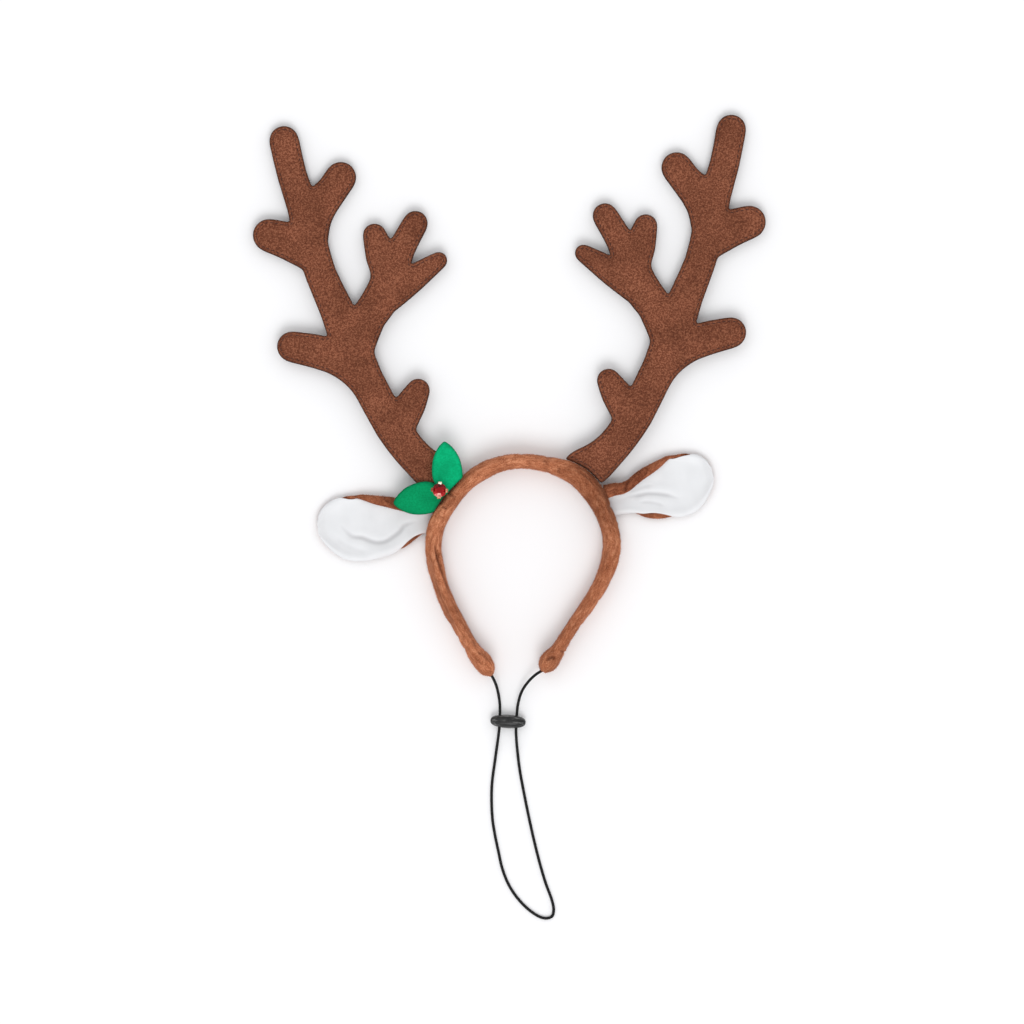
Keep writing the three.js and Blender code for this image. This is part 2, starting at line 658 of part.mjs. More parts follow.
// A shallow cup under the stone, with claws that reach out round the girdle and hook in over the crown.
function settingGeometry() {
  const foot = SETTING_FLOOR + CLEARANCE;
  const girdle = foot + STONE_PAVILION;
  const crown = girdle + STONE_GIRDLE + CLEARANCE;
  const rim = foot + SETTING_RIM * STONE_PAVILION;
  const baseInner = STONE_BASE_RADIUS + 2 * CLEARANCE;
  const rimInner = baseInner + SETTING_RIM * (STONE_RADIUS - STONE_BASE_RADIUS);
  const cup = new THREE.LatheGeometry([
    new THREE.Vector2(0, 0),
    new THREE.Vector2(baseInner + SETTING_WALL, 0),
    new THREE.Vector2(rimInner + SETTING_WALL, rim),
    new THREE.Vector2(rimInner, rim),
    new THREE.Vector2(baseInner, SETTING_FLOOR),
    new THREE.Vector2(0, SETTING_FLOOR),
  ], 3 * STONE_SIDES).rotateX(Math.PI / 2);
  let setting = solidOf(cup);
  const inner = STONE_RADIUS + CLEARANCE;
  const outer = inner + CLAW_THICKNESS;
  const claw = new THREE.Shape([
    new THREE.Vector2(rimInner, rim - SETTING_WALL),
    new THREE.Vector2(outer, girdle - 2 * CLEARANCE),
    new THREE.Vector2(outer, crown + CLAW_THICKNESS),
    new THREE.Vector2(inner, crown + 2 * CLAW_THICKNESS),
    new THREE.Vector2(inner - CLAW_HOOK, crown + 2 * CLAW_THICKNESS),
    new THREE.Vector2(inner - CLAW_HOOK, crown + CLAW_THICKNESS),
    new THREE.Vector2(inner, crown),
    new THREE.Vector2(inner, girdle - CLEARANCE),
    new THREE.Vector2(rimInner, rim),
  ]);
  for (let i = 0; i < CLAWS; i++) {
    const bar = new THREE.ExtrudeGeometry(claw, { depth: CLAW_WIDTH, bevelEnabled: false })
      .translate(0, 0, -CLAW_WIDTH / 2)
      .rotateX(Math.PI / 2)
      .rotateZ(i / CLAWS * 2 * Math.PI);
    setting = setting.add(solidOf(bar));
  }
  return geometryOf(setting);
}

function makeHolly() {
  const { point, outward, size } = bandStation(HOLLY_AT);
  const stonePlace = point.addScaledVector(outward, size.x * BAND_THICKNESS / 2 + HOLLY_OUT);
  const jewel = new THREE.Group();
  jewel.position.copy(stonePlace).setZ(STONE_SEAT);
  jewel.rotation.z = radians(SETTING_TURN);
  jewel.add(
    named('holly_setting', settingGeometry(), GOLD_TONE),
    named('holly_stone', stoneGeometry(), RED_STONE),
  );
  return [...LEAVES.map((leaf) => makeLeaf(leaf, stonePlace)), jewel];
}

// Chin cord, cut back from the two ends of the band
function makeCord() {
  const route = new THREE.CatmullRomCurve3(CORD_ROUTE.map((point) => new THREE.Vector3(...point)));
  const section = new THREE.Shape();
  for (let i = 0; i < CORD_SIDES; i++) {
    const angle = (i + 0.5) / CORD_SIDES * 2 * Math.PI;
    const x = CORD_DIAMETER / 2 * Math.cos(angle);
    const y = CORD_DIAMETER / 2 * Math.sin(angle);
    if (i === 0) {
      section.moveTo(x, y);
    } else {
      section.lineTo(x, y);
    }
  }
  section.closePath();
  const tube = new THREE.ExtrudeGeometry(section, { steps: CORD_STEPS, extrudePath: route });
  return named('chin_cord', geometryOf(solidOf(tube).subtract(bandCutter)), BLACK_ELASTIC);
}

// Slider: a long bead that lies across both strands, with a hole for each
function makeSlider() {
  const profile = [];
  for (let i = 0; i <= SLIDER_RINGS; i++) {
    const angle = i / SLIDER_RINGS * Math.PI;
    const radius = i === 0 || i === SLIDER_RINGS ? 0 : SLIDER_DIAMETER / 2 * Math.sin(angle) ** SLIDER_ROUNDNESS;
    profile.push(new THREE.Vector2(radius, -SLIDER_LENGTH / 2 * Math.cos(angle)));
  }
  const bead = new THREE.LatheGeometry(profile, SLIDER_SIDES).rotateZ(-Math.PI / 2);
  const holeRadius = CORD_DIAMETER / 2 + CORD_HOLE_CLEARANCE;
  let slider = solidOf(bead);
  for (const side of [-1, 1]) {
    const hole = new THREE.CylinderGeometry(holeRadius, holeRadius, 2 * SLIDER_DIAMETER, 2 * CORD_SIDES)
      .translate(side * SLIDER_HOLE_SPACING / 2, 0, 0);
    slider = slider.subtract(solidOf(hole));
  }
  const mesh = named('cord_slider', geometryOf(slider), BLACK_PLASTIC);
  mesh.position.set(SLIDER_MIDDLE.x, SLIDER_MIDDLE.y, SLIDER_DIAMETER / 2);
  mesh.rotation.z = radians(SLIDER_TURN);
  return mesh;
}

const headband = new THREE.Group();
headband.add(
  named('band', loftedRod(bandRings(0)), PLUSH),
  ...ANTLERS.map(makeAntler),
  ...EARS.map(makeEar),
  ...makeHolly(),
  makeCord(),
  makeSlider(),
);

export default headband;
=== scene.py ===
"""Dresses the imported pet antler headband: plush band, felt antlers, ears, holly and elastic chin cord."""

import logging
import math
from dataclasses import dataclass
from enum import Enum
from typing import Any, Callable, Sequence

import bmesh
import bpy
import numpy as np
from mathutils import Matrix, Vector, geometry, noise
from mathutils.bvhtree import BVHTree


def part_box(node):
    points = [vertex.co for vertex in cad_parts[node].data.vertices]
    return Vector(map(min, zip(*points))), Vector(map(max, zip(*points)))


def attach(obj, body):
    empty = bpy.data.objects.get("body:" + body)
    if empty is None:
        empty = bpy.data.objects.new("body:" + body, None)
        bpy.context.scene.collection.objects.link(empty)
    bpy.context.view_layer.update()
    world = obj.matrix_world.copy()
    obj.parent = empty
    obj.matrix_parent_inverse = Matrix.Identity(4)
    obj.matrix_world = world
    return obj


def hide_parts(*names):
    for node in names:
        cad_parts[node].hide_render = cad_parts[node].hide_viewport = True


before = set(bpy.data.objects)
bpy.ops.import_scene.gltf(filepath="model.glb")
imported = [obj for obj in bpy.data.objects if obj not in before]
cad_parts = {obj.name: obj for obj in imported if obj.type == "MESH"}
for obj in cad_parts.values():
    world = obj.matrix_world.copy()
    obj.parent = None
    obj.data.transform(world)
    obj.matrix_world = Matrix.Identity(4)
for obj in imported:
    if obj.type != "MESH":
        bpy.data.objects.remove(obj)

log = logging.getLogger("headband")

MM = 0.001
BODY = "root"
Array = np.ndarray

WELD = 0.002 * MM  # points of a node's mesh nearer than this are one
LOWEST = 0.02  # how far above the surface the lowest points of a soft piece stay, in millimetres


# Colour and shader helpers


def paint(red: int, green: int, blue: int) -> tuple[float, float, float, float]:
    """Turns a colour in 0 to 255 display values into the linear one that a shader takes.

    Args:
        red: display red.
        green: display green.
        blue: display blue.

    Returns:
        The linear colour with alpha 1.
    """
    values = [channel / 255 for channel in (red, green, blue)]
    linear = [v / 12.92 if v <= 0.04045 else ((v + 0.055) / 1.055) ** 2.4 for v in values]
    return (*linear, 1.0)


WHITE = paint(255, 255, 255)


class Shader:
    """A material's node tree, with short calls to add, set and join its nodes."""

    def __init__(self, name: str) -> None:
        """Starts a material that holds one Principled shader."""
        self.material = bpy.data.materials.new(name)
        self.material.use_nodes = True
        self.tree = self.material.node_tree
        self.surface = self.tree.nodes["Principled BSDF"]

    def node(self, kind: str, inputs: dict[str, Any] | None = None, **settings: Any) -> bpy.types.Node:
        """Adds a node.

        Args:
            kind: the node's type without its ShaderNode prefix.
            inputs: values or output sockets for its named inputs.
            settings: the node's own properties.

        Returns:
            The new node.
        """
        made = self.tree.nodes.new("ShaderNode" + kind)
        for name, value in settings.items():
            setattr(made, name, value)
        for name, value in (inputs or {}).items():
            self.put(made.inputs[name], value)
        return made

    def put(self, socket: bpy.types.NodeSocket, value: Any) -> None:
        """Links an output to a socket, or sets the socket's own value."""
        if isinstance(value, bpy.types.NodeSocket):
            self.tree.links.new(value, socket)
        else:
            socket.default_value = value

    def set(self, **inputs: Any) -> None:
        """Sets the Principled shader's inputs, with _ for each space in a name."""
        for name, value in inputs.items():
            self.put(self.surface.inputs[name.replace("_", " ")], value)

    def noise(
        self, where: bpy.types.NodeSocket, size: float, detail: float = 2.0, **inputs: float
    ) -> bpy.types.NodeSocket:
        """Adds a noise texture.

        Args:
            where: the coordinates that it reads.
            size: how wide its spots are, in metres.
            detail: how many finer layers it has.
            inputs: values for its other inputs.

        Returns:
            Its factor output.
        """
        wanted = {"Vector": where, "Scale": 1 / size, "Detail": detail}
        wanted.update({name.replace("_", " "): value for name, value in inputs.items()})
        return self.node("TexNoise", wanted).outputs["Fac"]

    def ramp(
        self, factor: bpy.types.NodeSocket, stops: Sequence[tuple[float, tuple]]
    ) -> bpy.types.NodeSocket:
        """Adds a colour ramp.

        Args:
            factor: what it reads.
            stops: its positions and colours.

        Returns:
            Its colour output.
        """
        made = self.node("ValToRGB", {"Fac": factor})
        elements = made.color_ramp.elements
        while len(elements) < len(stops):
            elements.new(0.5)
        for element, (position, colour) in zip(elements, stops):
            element.position = position
            element.color = colour
        return made.outputs["Color"]

    def blend(self, factor: Any, first: Any, second: Any, way: str = "MIX") -> bpy.types.NodeSocket:
        """Mixes two colours.

        Args:
            factor: the share of the second colour.
            first: the first colour.
            second: the second colour.
            way: the blend type.

        Returns:
            The mixed colour.
        """
        made = self.node("Mix", data_type="RGBA", blend_type=way)
        for index, value in ((0, factor), (6, first), (7, second)):
            self.put(made.inputs[index], value)
        return made.outputs[2]

    def bump(
        self, height: bpy.types.NodeSocket, depth: float, strength: float = 1.0, under: Any = None
    ) -> bpy.types.NodeSocket:
        """Adds a bump.

        Args:
            height: the height that it reads, from 0 to 1.
            depth: the real depth, in metres.
            strength: how strongly it shows.
            under: a normal that it is laid over.

        Returns:
            Its normal output.
        """
        inputs = {"Height": height, "Distance": depth, "Strength": strength}
        if under is not None:
            inputs["Normal"] = under
        return self.node("Bump", inputs).outputs["Normal"]

    def place(self) -> bpy.types.NodeSocket:
        """Returns the object coordinates."""
        return self.node("TexCoord").outputs["Object"]

    def unrolled(self, across: float = 1.0) -> bpy.types.NodeSocket:
        """Returns the piece's own UV map, in metres, stretched by a share across it."""
        uv = self.node("UVMap", uv_map="UVMap").outputs["UV"]
        return self.node("Mapping", {"Vector": uv, "Scale": (1.0, across, 1.0)}).outputs["Vector"]

    def attribute(self, name: str) -> bpy.types.NodeSocket:
        """Returns a number that the mesh carries at its points or faces."""
        return self.node("Attribute", attribute_name=name).outputs["Fac"]

    def with_painted_shade(self, colour: bpy.types.NodeSocket) -> bpy.types.NodeSocket:
        """Darkens a colour by the painted shade that the mesh carries, where the nap is taken to lie away
        from the light.
        """
        shade = self.ramp(self.attribute("nap_and_painted_shade"), [(0.0, WHITE), (1.0, paint(204, 198, 194))])
        return self.blend(1.0, colour, shade, "MULTIPLY")


# Finishes


@dataclass(frozen=True)
class FeltFinish:
    """Heathered felt: fibres of three shades, a cut edge darkened by its own colour and by painted shade, and
    a matted surface.
    """

    name: str
    dark: tuple
    middle: tuple
    light: tuple
    rim: tuple
    heather: float = 0.66 * MM
    fibre: float = 0.3 * MM
    contrast: float = 0.5
    wear: float = 9 * MM
    depth: float = 0.2 * MM

    def material(self) -> bpy.types.Material:
        """Builds the material."""
        shader = Shader(self.name)
        place = shader.place()
        patches = shader.noise(place, self.heather, 3.0, Roughness=0.65)
        strands = shader.noise(place, self.fibre, 4.0, Roughness=0.7, Distortion=1.6)
        worn = shader.noise(place, self.wear, 2.0)
        broad = shader.ramp(patches, [(0.4, self.dark), (0.5, self.middle), (0.6, self.light)])
        fine = shader.ramp(strands, [(0.4, self.dark), (0.5, self.middle), (0.59, self.light)])
        shade = shader.ramp(worn, [(0.3, paint(222, 220, 218)), (0.7, WHITE)])
        felt = shader.blend(1.0, shader.blend(self.contrast, broad, fine), shade, "MULTIPLY")
        # Darker towards the outline: the cut edge's own colour and painted shade where the side wall falls
        # into shadow
        edge = shader.ramp(shader.attribute("edge"), [(0.05, (0, 0, 0, 1)), (0.95, (1, 1, 1, 1))])
        shader.set(
            Base_Color=shader.with_painted_shade(shader.blend(edge, felt, self.rim)),
            Roughness=0.95,
            Specular_IOR_Level=0.1,
            Normal=shader.bump(strands, self.depth, 0.9, shader.bump(patches, self.depth, 0.5)),
        )
        return shader.material


@dataclass(frozen=True)
class PlushFinish:
    """Short brushed plush whose nap runs along the piece and catches light at its edges, with painted shade
    in its creases and where its nap is taken to lie away from the light.
    """

    name: str
    dark: tuple = paint(126, 68, 42)
    middle: tuple = paint(190, 116, 80)
    light: tuple = paint(240, 172, 132)
    # The colour of the painted shade in the creases
    crease_shade: tuple = paint(84, 40, 26)
    streak: float = 3.4 * MM
    grain: float = 0.5 * MM
    drift: float = 13 * MM

    def material(self) -> bpy.types.Material:
        """Builds the material."""
        shader = Shader(self.name)
        nap_and_painted_shade = shader.unrolled(across=2.2)
        brushed = shader.noise(nap_and_painted_shade, self.streak, 3.0, Roughness=0.6, Distortion=0.5)
        pile = shader.noise(shader.unrolled(), self.grain, 3.0, Roughness=0.7)
        drifting = shader.noise(shader.unrolled(), self.drift, 2.0)
        broad = shader.ramp(brushed, [(0.34, self.dark), (0.5, self.middle), (0.68, self.light)])
        fine = shader.ramp(pile, [(0.38, self.dark), (0.5, self.middle), (0.62, self.light)])
        tone = shader.ramp(drifting, [(0.34, paint(218, 208, 202)), (0.6, WHITE)])
        plush = shader.blend(1.0, shader.blend(0.5, broad, fine), tone, "MULTIPLY")
        # Painted shade: darker along the creases, and where the nap is taken to lie away from the light
        crease_painted_shade = shader.ramp(shader.attribute("crease_painted_shade"), [(0.0, (0, 0, 0, 1)), (1.0, (0.8, 0.8, 0.8, 1))])
        shader.set(
            Base_Color=shader.with_painted_shade(shader.blend(crease_painted_shade, plush, self.crease_shade)),
            Roughness=0.9,
            Specular_IOR_Level=0.15,
            Sheen_Weight=0.12,
            Sheen_Roughness=0.4,
            Sheen_Tint=self.light,
            Normal=shader.bump(pile, 0.2 * MM, 0.6, shader.bump(brushed, 0.35 * MM, 0.5)),
        )
        return shader.material


@dataclass(frozen=True)
class SatinFinish:
    """Smooth white satin with a close weave, with painted shade greying it along its folds."""

    name: str = "white_satin"
    colour: tuple = paint(229, 230, 232)
    fold_shade: tuple = paint(196, 196, 198)
    shaded: tuple = paint(222, 223, 225)
    thread: float = 0.28 * MM
    drift: float = 9 * MM

    def material(self) -> bpy.types.Material:
        """Builds the material."""
        shader = Shader(self.name)
        weave = shader.noise(shader.unrolled(across=0.25), self.thread, 2.0)
        soft = shader.noise(shader.unrolled(), self.drift, 2.0)
        tint = shader.ramp(soft, [(0.3, self.shaded), (0.7, self.colour)])
        # Painted shade along the folds
        fold = shader.ramp(shader.attribute("crease_painted_shade"), [(0.05, (0, 0, 0, 1)), (0.4, (1, 1, 1, 1))])
        shader.set(
            Base_Color=shader.blend(fold, tint, self.fold_shade),
            Roughness=0.42,
            Specular_IOR_Level=0.3,
            Normal=shader.bump(weave, 0.03 * MM, 0.5),
        )
        return shader.material


@dataclass(frozen=True)
class PlainFinish:
    """A finish of one colour with fine marks, such as thread or the surface underneath."""

    name: str
    colour: tuple
    roughness: float
    marks: float
    depth: float

    def material(self) -> bpy.types.Material:
        """Builds the material."""
        shader = Shader(self.name)
        marks = shader.noise(shader.place(), self.marks, 4.0)
        spread = shader.node(
            "MapRange",
            {"Value": marks, "To Min": self.roughness * 0.8, "To Max": self.roughness * 1.25},
        )
        shader.set(
            Base_Color=self.colour,
            Roughness=spread.outputs["Result"],
            Normal=shader.bump(marks, self.depth, 0.5),
        )
        return shader.material


@dataclass(frozen=True)
class MouldedFinish:
    """Half gloss black plastic, with light streaks along it that are painted reflections."""

    name: str = "black_moulding"
    dark: tuple = paint(20, 20, 21)
    middle: tuple = paint(52, 52, 52)
    light: tuple = paint(128, 128, 127)
    streak: float = 4.5 * MM
    speck: float = 0.45 * MM

    def material(self) -> bpy.types.Material:
        """Builds the material."""
        shader = Shader(self.name)
        lengthwise = shader.node("Mapping", {"Vector": shader.place(), "Scale": (0.55, 4.0, 4.0)}).outputs["Vector"]
        reflection_noise = shader.noise(lengthwise, self.streak, 3.0, Roughness=0.6)
        specks = shader.noise(shader.place(), self.speck, 3.0)
        # Painted reflections: light grey streaks along the bead
        reflection_streaks = shader.ramp(reflection_noise, [(0.36, self.dark), (0.52, self.middle), (0.68, self.light)])
        speckled = shader.ramp(specks, [(0.3, paint(150, 150, 150)), (0.6, WHITE)])
        shader.set(
            Base_Color=shader.blend(1.0, reflection_streaks, speckled, "MULTIPLY"),
            Roughness=0.34,
            Specular_IOR_Level=0.3,
            Normal=shader.bump(specks, 0.05 * MM, 0.6),
        )
        return shader.material


@dataclass(frozen=True)
class GlintFinish:
    """A polished finish whose faces read how much light they throw back."""

    name: str
    shades: tuple
    roughness: float
    metallic: float = 0.0

    def material(self) -> bpy.types.Material:
        """Builds the material."""
        shader = Shader(self.name)
        shader.set(
            Base_Color=shader.ramp(shader.attribute("glint"), self.shades),
            Roughness=self.roughness,
            Metallic=self.metallic,
            Specular_IOR_Level=0.25,
        )
        return shader.material


@dataclass(frozen=True)
class ElasticFinish:
    """Black covered elastic: threads that wind round it both ways."""

    name: str = "black_elastic"
    colour: tuple = paint(13, 13, 14)
    gap: tuple = paint(3, 3, 3)
    thread: float = 0.32 * MM
    wind: float = 55.0

    def material(self) -> bpy.types.Material:
        """Builds the material."""
        shader = Shader(self.name)
        uv = shader.node("UVMap", uv_map="UVMap").outputs["UV"]
        winds = []
        for turn in (1, -1):
            rotation = (0, 0, turn * math.radians(self.wind))
            turned = shader.node("Mapping", {"Vector": uv, "Rotation": rotation})
            inputs = {"Vector": turned.outputs["Vector"], "Scale": 1 / self.thread / 6.0}
            wave = shader.node("TexWave", inputs)
            winds.append(wave.outputs["Fac"])
        braid = shader.node("Math", operation="MULTIPLY")
        shader.put(braid.inputs[0], winds[0])
        shader.put(braid.inputs[1], winds[1])
        height = braid.outputs["Value"]
        shader.set(
            Base_Color=shader.ramp(height, [(0.0, self.gap), (1.0, self.colour)]),
            Roughness=0.6,
            Specular_IOR_Level=0.25,
            Normal=shader.bump(height, 0.05 * MM, 0.7),
        )
        return shader.material


class Finishes(Enum):
    """The finishes of the headband's pieces."""

    ANTLER_FELT = FeltFinish(
        "antler_felt", paint(80, 40, 28), paint(126, 71, 50), paint(176, 114, 86), paint(48, 28, 22)
    )
    UPPER_LEAF = FeltFinish(
        "upper_leaf_felt",
        paint(2, 164, 106),
        paint(4, 178, 118),
        paint(10, 190, 128),
        paint(2, 106, 68),
        contrast=0.4,
        depth=0.08 * MM,
    )
    # The lower leaf's felt is darker than the upper's as painted shade, for it tilts away from the light
    LOWER_LEAF = FeltFinish(
        "lower_leaf_felt",
        paint(2, 140, 86),
        paint(3, 154, 97),
        paint(8, 166, 106),
        paint(2, 88, 56),
        contrast=0.4,
        depth=0.08 * MM,
    )
    PLUSH = PlushFinish("brown_plush")
    PILE = FeltFinish(
        "brown_pile",
        paint(146, 82, 52),
        paint(206, 130, 92),
        paint(248, 184, 144),
        paint(146, 82, 52),
        heather=4 * MM,
        fibre=0.5 * MM,
    )
    # A darker copy of the band's plush for the ears: painted shade, as their folded plush faces away from the
    # light
    SHADED_EAR_PLUSH = PlushFinish("brown_ear_plush_shaded", paint(92, 50, 32), paint(142, 80, 54), paint(190, 122, 88))
    SATIN = SatinFinish()
    STONE = GlintFinish(
        "red_cut_stone",
        (
            (0.0, paint(58, 0, 2)),
            (0.3, paint(146, 4, 6)),
            (0.6, paint(200, 40, 44)),
            (1.0, paint(255, 184, 174)),
        ),
        0.08,
    )
    GOLD = GlintFinish(
        "gold_tone_setting",
        ((0.0, paint(112, 26, 24)), (0.5, paint(222, 150, 118)), (1.0, paint(255, 246, 222))),
        0.22,
        metallic=1.0,
    )
    THREAD = PlainFinish("brown_thread", paint(64, 34, 26), 0.8, marks=0.2 * MM, depth=0.05 * MM)
    ELASTIC = ElasticFinish()
    SLIDER = MouldedFinish()
    FLOOR = PlainFinish("pale_surface", paint(247, 247, 248), 0.9, marks=30 * MM, depth=0.0)


_made: dict[Finishes, bpy.types.Material] = {}


def material_of(finish: Finishes) -> bpy.types.Material:
    """Returns a finish's material, made once."""
    if finish not in _made:
        _made[finish] = finish.value.material()
    return _made[finish]


# Curves and meshes


def spline(points: Array, per_span: int = 12) -> Array:
    """Runs a centripetal Catmull-Rom curve through points.

    Args:
        points: the points, one a row.
        per_span: how many points it has from one to the next.

    Returns:
        The curve's points.
    """
    points = np.asarray(points, float)
    ends = np.vstack([2 * points[0] - points[1], points, 2 * points[-1] - points[-2]])
    knots = np.concatenate([[0], np.cumsum(np.linalg.norm(np.diff(ends, axis=0), axis=1) ** 0.5)])
    spans = []
    for i in range(len(points) - 1):
        p, k = ends[i : i + 4], knots[i : i + 4]
        t = np.linspace(k[1], k[2], per_span, endpoint=False)[:, None]
        a = [((k[j + 1] - t) * p[j] + (t - k[j]) * p[j + 1]) / (k[j + 1] - k[j]) for j in range(3)]
        b = [((k[j + 2] - t) * a[j] + (t - k[j]) * a[j + 1]) / (k[j + 2] - k[j]) for j in range(2)]
        spans.append(((k[2] - t) * b[0] + (t - k[1]) * b[1]) / (k[2] - k[1]))
    return np.vstack([*spans, points[-1:]])


def lengths(points: Array, columns: int) -> Array:
    """Returns the distance of each point along a line, measured in its first columns."""
    steps = np.linalg.norm(np.diff(points[:, :columns], axis=0), axis=1)
    return np.concatenate([[0], np.cumsum(steps)])


def evenly(points: Array, count: int, columns: int = 2) -> Array:
    """Takes points at even distances along a line.

    Args:
        points: the line's points, one a row.
        count: how many to take.
        columns: how many of the first columns measure distance.

    Returns:
        The points taken.
    """
    at = lengths(points, columns)
    wanted = np.linspace(0, at[-1], count)
    return np.column_stack([np.interp(wanted, at, column) for column in points.T])


def linked(name: str, data: bpy.types.ID) -> bpy.types.Object:
    """Puts a mesh, a light or a camera into the scene as a new object.

    Args:
        name: the object's name.
        data: what it shows.

    Returns:
        The object.
    """
    made = bpy.data.objects.new(name, data)
    bpy.context.scene.collection.objects.link(made)
    return made


def make_object(name: str, points: Array, faces: Sequence, finish: Finishes) -> bpy.types.Object:
    """Makes a smooth-shaded mesh object at the origin.

    Args:
        name: the piece's name.
        points: its points in millimetres.
        faces: its faces as point numbers.
        finish: its finish.

    Returns:
        The object, linked to the scene.
    """
    mesh = bpy.data.meshes.new(name)
    mesh.from_pydata((np.asarray(points) * MM).tolist(), [], [list(map(int, face)) for face in faces])
    mesh.validate()
    mesh.shade_smooth()
    mesh.materials.append(material_of(finish))
    return linked(name, mesh)


def hardened(name: str, built: bmesh.types.BMesh, finish: Finishes) -> bpy.types.Object:
    """Makes a flat-shaded object of a mesh that was built face by face.

    Args:
        name: the piece's name.
        built: the mesh, which is freed.
        finish: its finish.

    Returns:
        The object.
    """
    mesh = bpy.data.meshes.new(name)
    built.to_mesh(mesh)
    built.free()
    mesh.materials.append(material_of(finish))
    return linked(name, mesh)


def points_of(piece: bpy.types.Object) -> Array:
    """Returns a mesh's points in millimetres."""
    flat = np.empty(3 * len(piece.data.vertices))
    piece.data.vertices.foreach_get("co", flat)
    return flat.reshape(-1, 3) / MM


def set_points(piece: bpy.types.Object, points: Array) -> None:
    """Moves a mesh's points to places in millimetres."""
    piece.data.vertices.foreach_set("co", (points * MM).astype(np.float32).ravel())
    piece.data.update()


def normals_of(piece: bpy.types.Object) -> Array:
    """Returns a mesh's point normals."""
    flat = np.empty(3 * len(piece.data.vertices))
    piece.data.vertex_normals.foreach_get("vector", flat)
    return flat.reshape(-1, 3)


def store(piece: bpy.types.Object, name: str, values: Array, domain: str = "POINT") -> None:
    """Keeps a number at each of a mesh's points, or at each face, for its material to read."""
    layer = piece.data.attributes.new(name, "FLOAT", domain)
    layer.data.foreach_set("value", np.asarray(values, np.float32))


def face_out(piece: bpy.types.Object) -> None:
    """Turns a closed mesh's faces outwards."""
    mesh = bmesh.new()
    mesh.from_mesh(piece.data)
    bmesh.ops.recalc_face_normals(mesh, faces=mesh.faces)
    mesh.to_mesh(piece.data)
    mesh.free()


def finished(piece: bpy.types.Object) -> bpy.types.Object:
    """Applies a piece's modifiers, so that it is a plain mesh.

    Args:
        piece: the object with its modifiers.

    Returns:
        The same object, with its result as its mesh.
    """
    graph = bpy.context.evaluated_depsgraph_get()
    mesh = bpy.data.meshes.new_from_object(piece.evaluated_get(graph), depsgraph=graph)
    piece.modifiers.clear()
    mesh.name = piece.name
    piece.data = mesh
    return piece


def subdivided(piece: bpy.types.Object, levels: int = 1) -> bpy.types.Object:
    """Applies a subdivision surface."""
    surface = piece.modifiers.new("Subdivision", "SUBSURF")
    surface.levels = surface.render_levels = levels
    return finished(piece)


def tube(name: str, rings: Array, poles: Array, finish: Finishes) -> bpy.types.Object:
    """Makes a closed tube through rings, with a pole at each end.

    Args:
        name: the piece's name.
        rings: rings by points by 3, in millimetres.
        poles: the two end points.
        finish: its finish.

    Returns:
        The tube, with a UV map in metres: along it, then round it.
    """
    count, sides = rings.shape[:2]
    first, last = count * sides, count * sides + 1
    faces, corners = [], []
    middle = rings.mean(axis=1)
    along = lengths(middle, 3) * MM
    girth = np.linalg.norm(np.diff(rings, axis=1, append=rings[:, :1]), axis=2).sum(axis=1).mean() * MM
    for r in range(count - 1):
        for s in range(sides):
            t = (s + 1) % sides
            faces.append([r * sides + s, r * sides + t, (r + 1) * sides + t, (r + 1) * sides + s])
            low, high = s / sides * girth, (s + 1) / sides * girth
            corners += [(along[r], low), (along[r], high), (along[r + 1], high), (along[r + 1], low)]
    for ring, pole, turned in ((0, first, True), (count - 1, last, False)):
        for s in range(sides):
            t = (s + 1) % sides
            a, b = ring * sides + s, ring * sides + t
            faces.append([b, a, pole] if turned else [a, b, pole])
            corners += [(along[ring], s / sides * girth)] * 3
    piece = make_object(name, np.vstack([rings.reshape(-1, 3), poles]), faces, finish)
    uv = piece.data.uv_layers.new(name="UVMap")
    uv.data.foreach_set("uv", np.array(corners, np.float32).ravel())
    face_out(piece)
    return piece


def wall(name: str, outer: Array, inner: Array, finish: Finishes) -> bpy.types.Object:
    """Makes a closed wall between two grids of points.

    Args:
        name: the piece's name.
        outer: rows by columns by 3, in millimetres.
        inner: the same for the other side.
        finish: its finish.

    Returns:
        The wall, with a UV map in metres.
    """
    rows, columns = outer.shape[:2]
    size = rows * columns
    number = np.arange(size).reshape(rows, columns)
    faces = []
    for r in range(rows - 1):
        for c in range(columns - 1):
            quad = [number[r, c], number[r + 1, c], number[r + 1, c + 1], number[r, c + 1]]
            faces.append(quad)
            faces.append([size + corner for corner in reversed(quad)])
    border = [*number[0, :-1], *number[:-1, -1], *number[-1, :0:-1], *number[:0:-1, 0]]
    for a, b in zip(border, border[1:] + border[:1]):
        faces.append([a, b, size + b, size + a])
    piece = make_object(name, np.vstack([outer.reshape(-1, 3), inner.reshape(-1, 3)]), faces, finish)
    across = np.concatenate([[0], np.cumsum(np.linalg.norm(np.diff(outer, axis=1), axis=2).mean(axis=0))])
    along = np.concatenate([[0], np.cumsum(np.linalg.norm(np.diff(outer, axis=0), axis=2).mean(axis=1))])
    flat = np.stack(np.meshgrid(along, across, indexing="ij"), axis=2).reshape(-1, 2) * MM
    both = np.vstack([flat, flat])
    face_out(piece)
    uv = piece.data.uv_layers.new(name="UVMap")
    corners = np.empty(len(piece.data.loops), np.int32)
    piece.data.loops.foreach_get("vertex_index", corners)
    uv.data.foreach_set("uv", both[corners].astype(np.float32).ravel())
    return piece


def tree_of(piece: bpy.types.Object) -> BVHTree:
    """Returns a search tree of a mesh, in millimetres."""
    faces = [list(face.vertices) for face in piece.data.polygons]
    return BVHTree.FromPolygons([Vector(point) for point in points_of(piece)], faces)


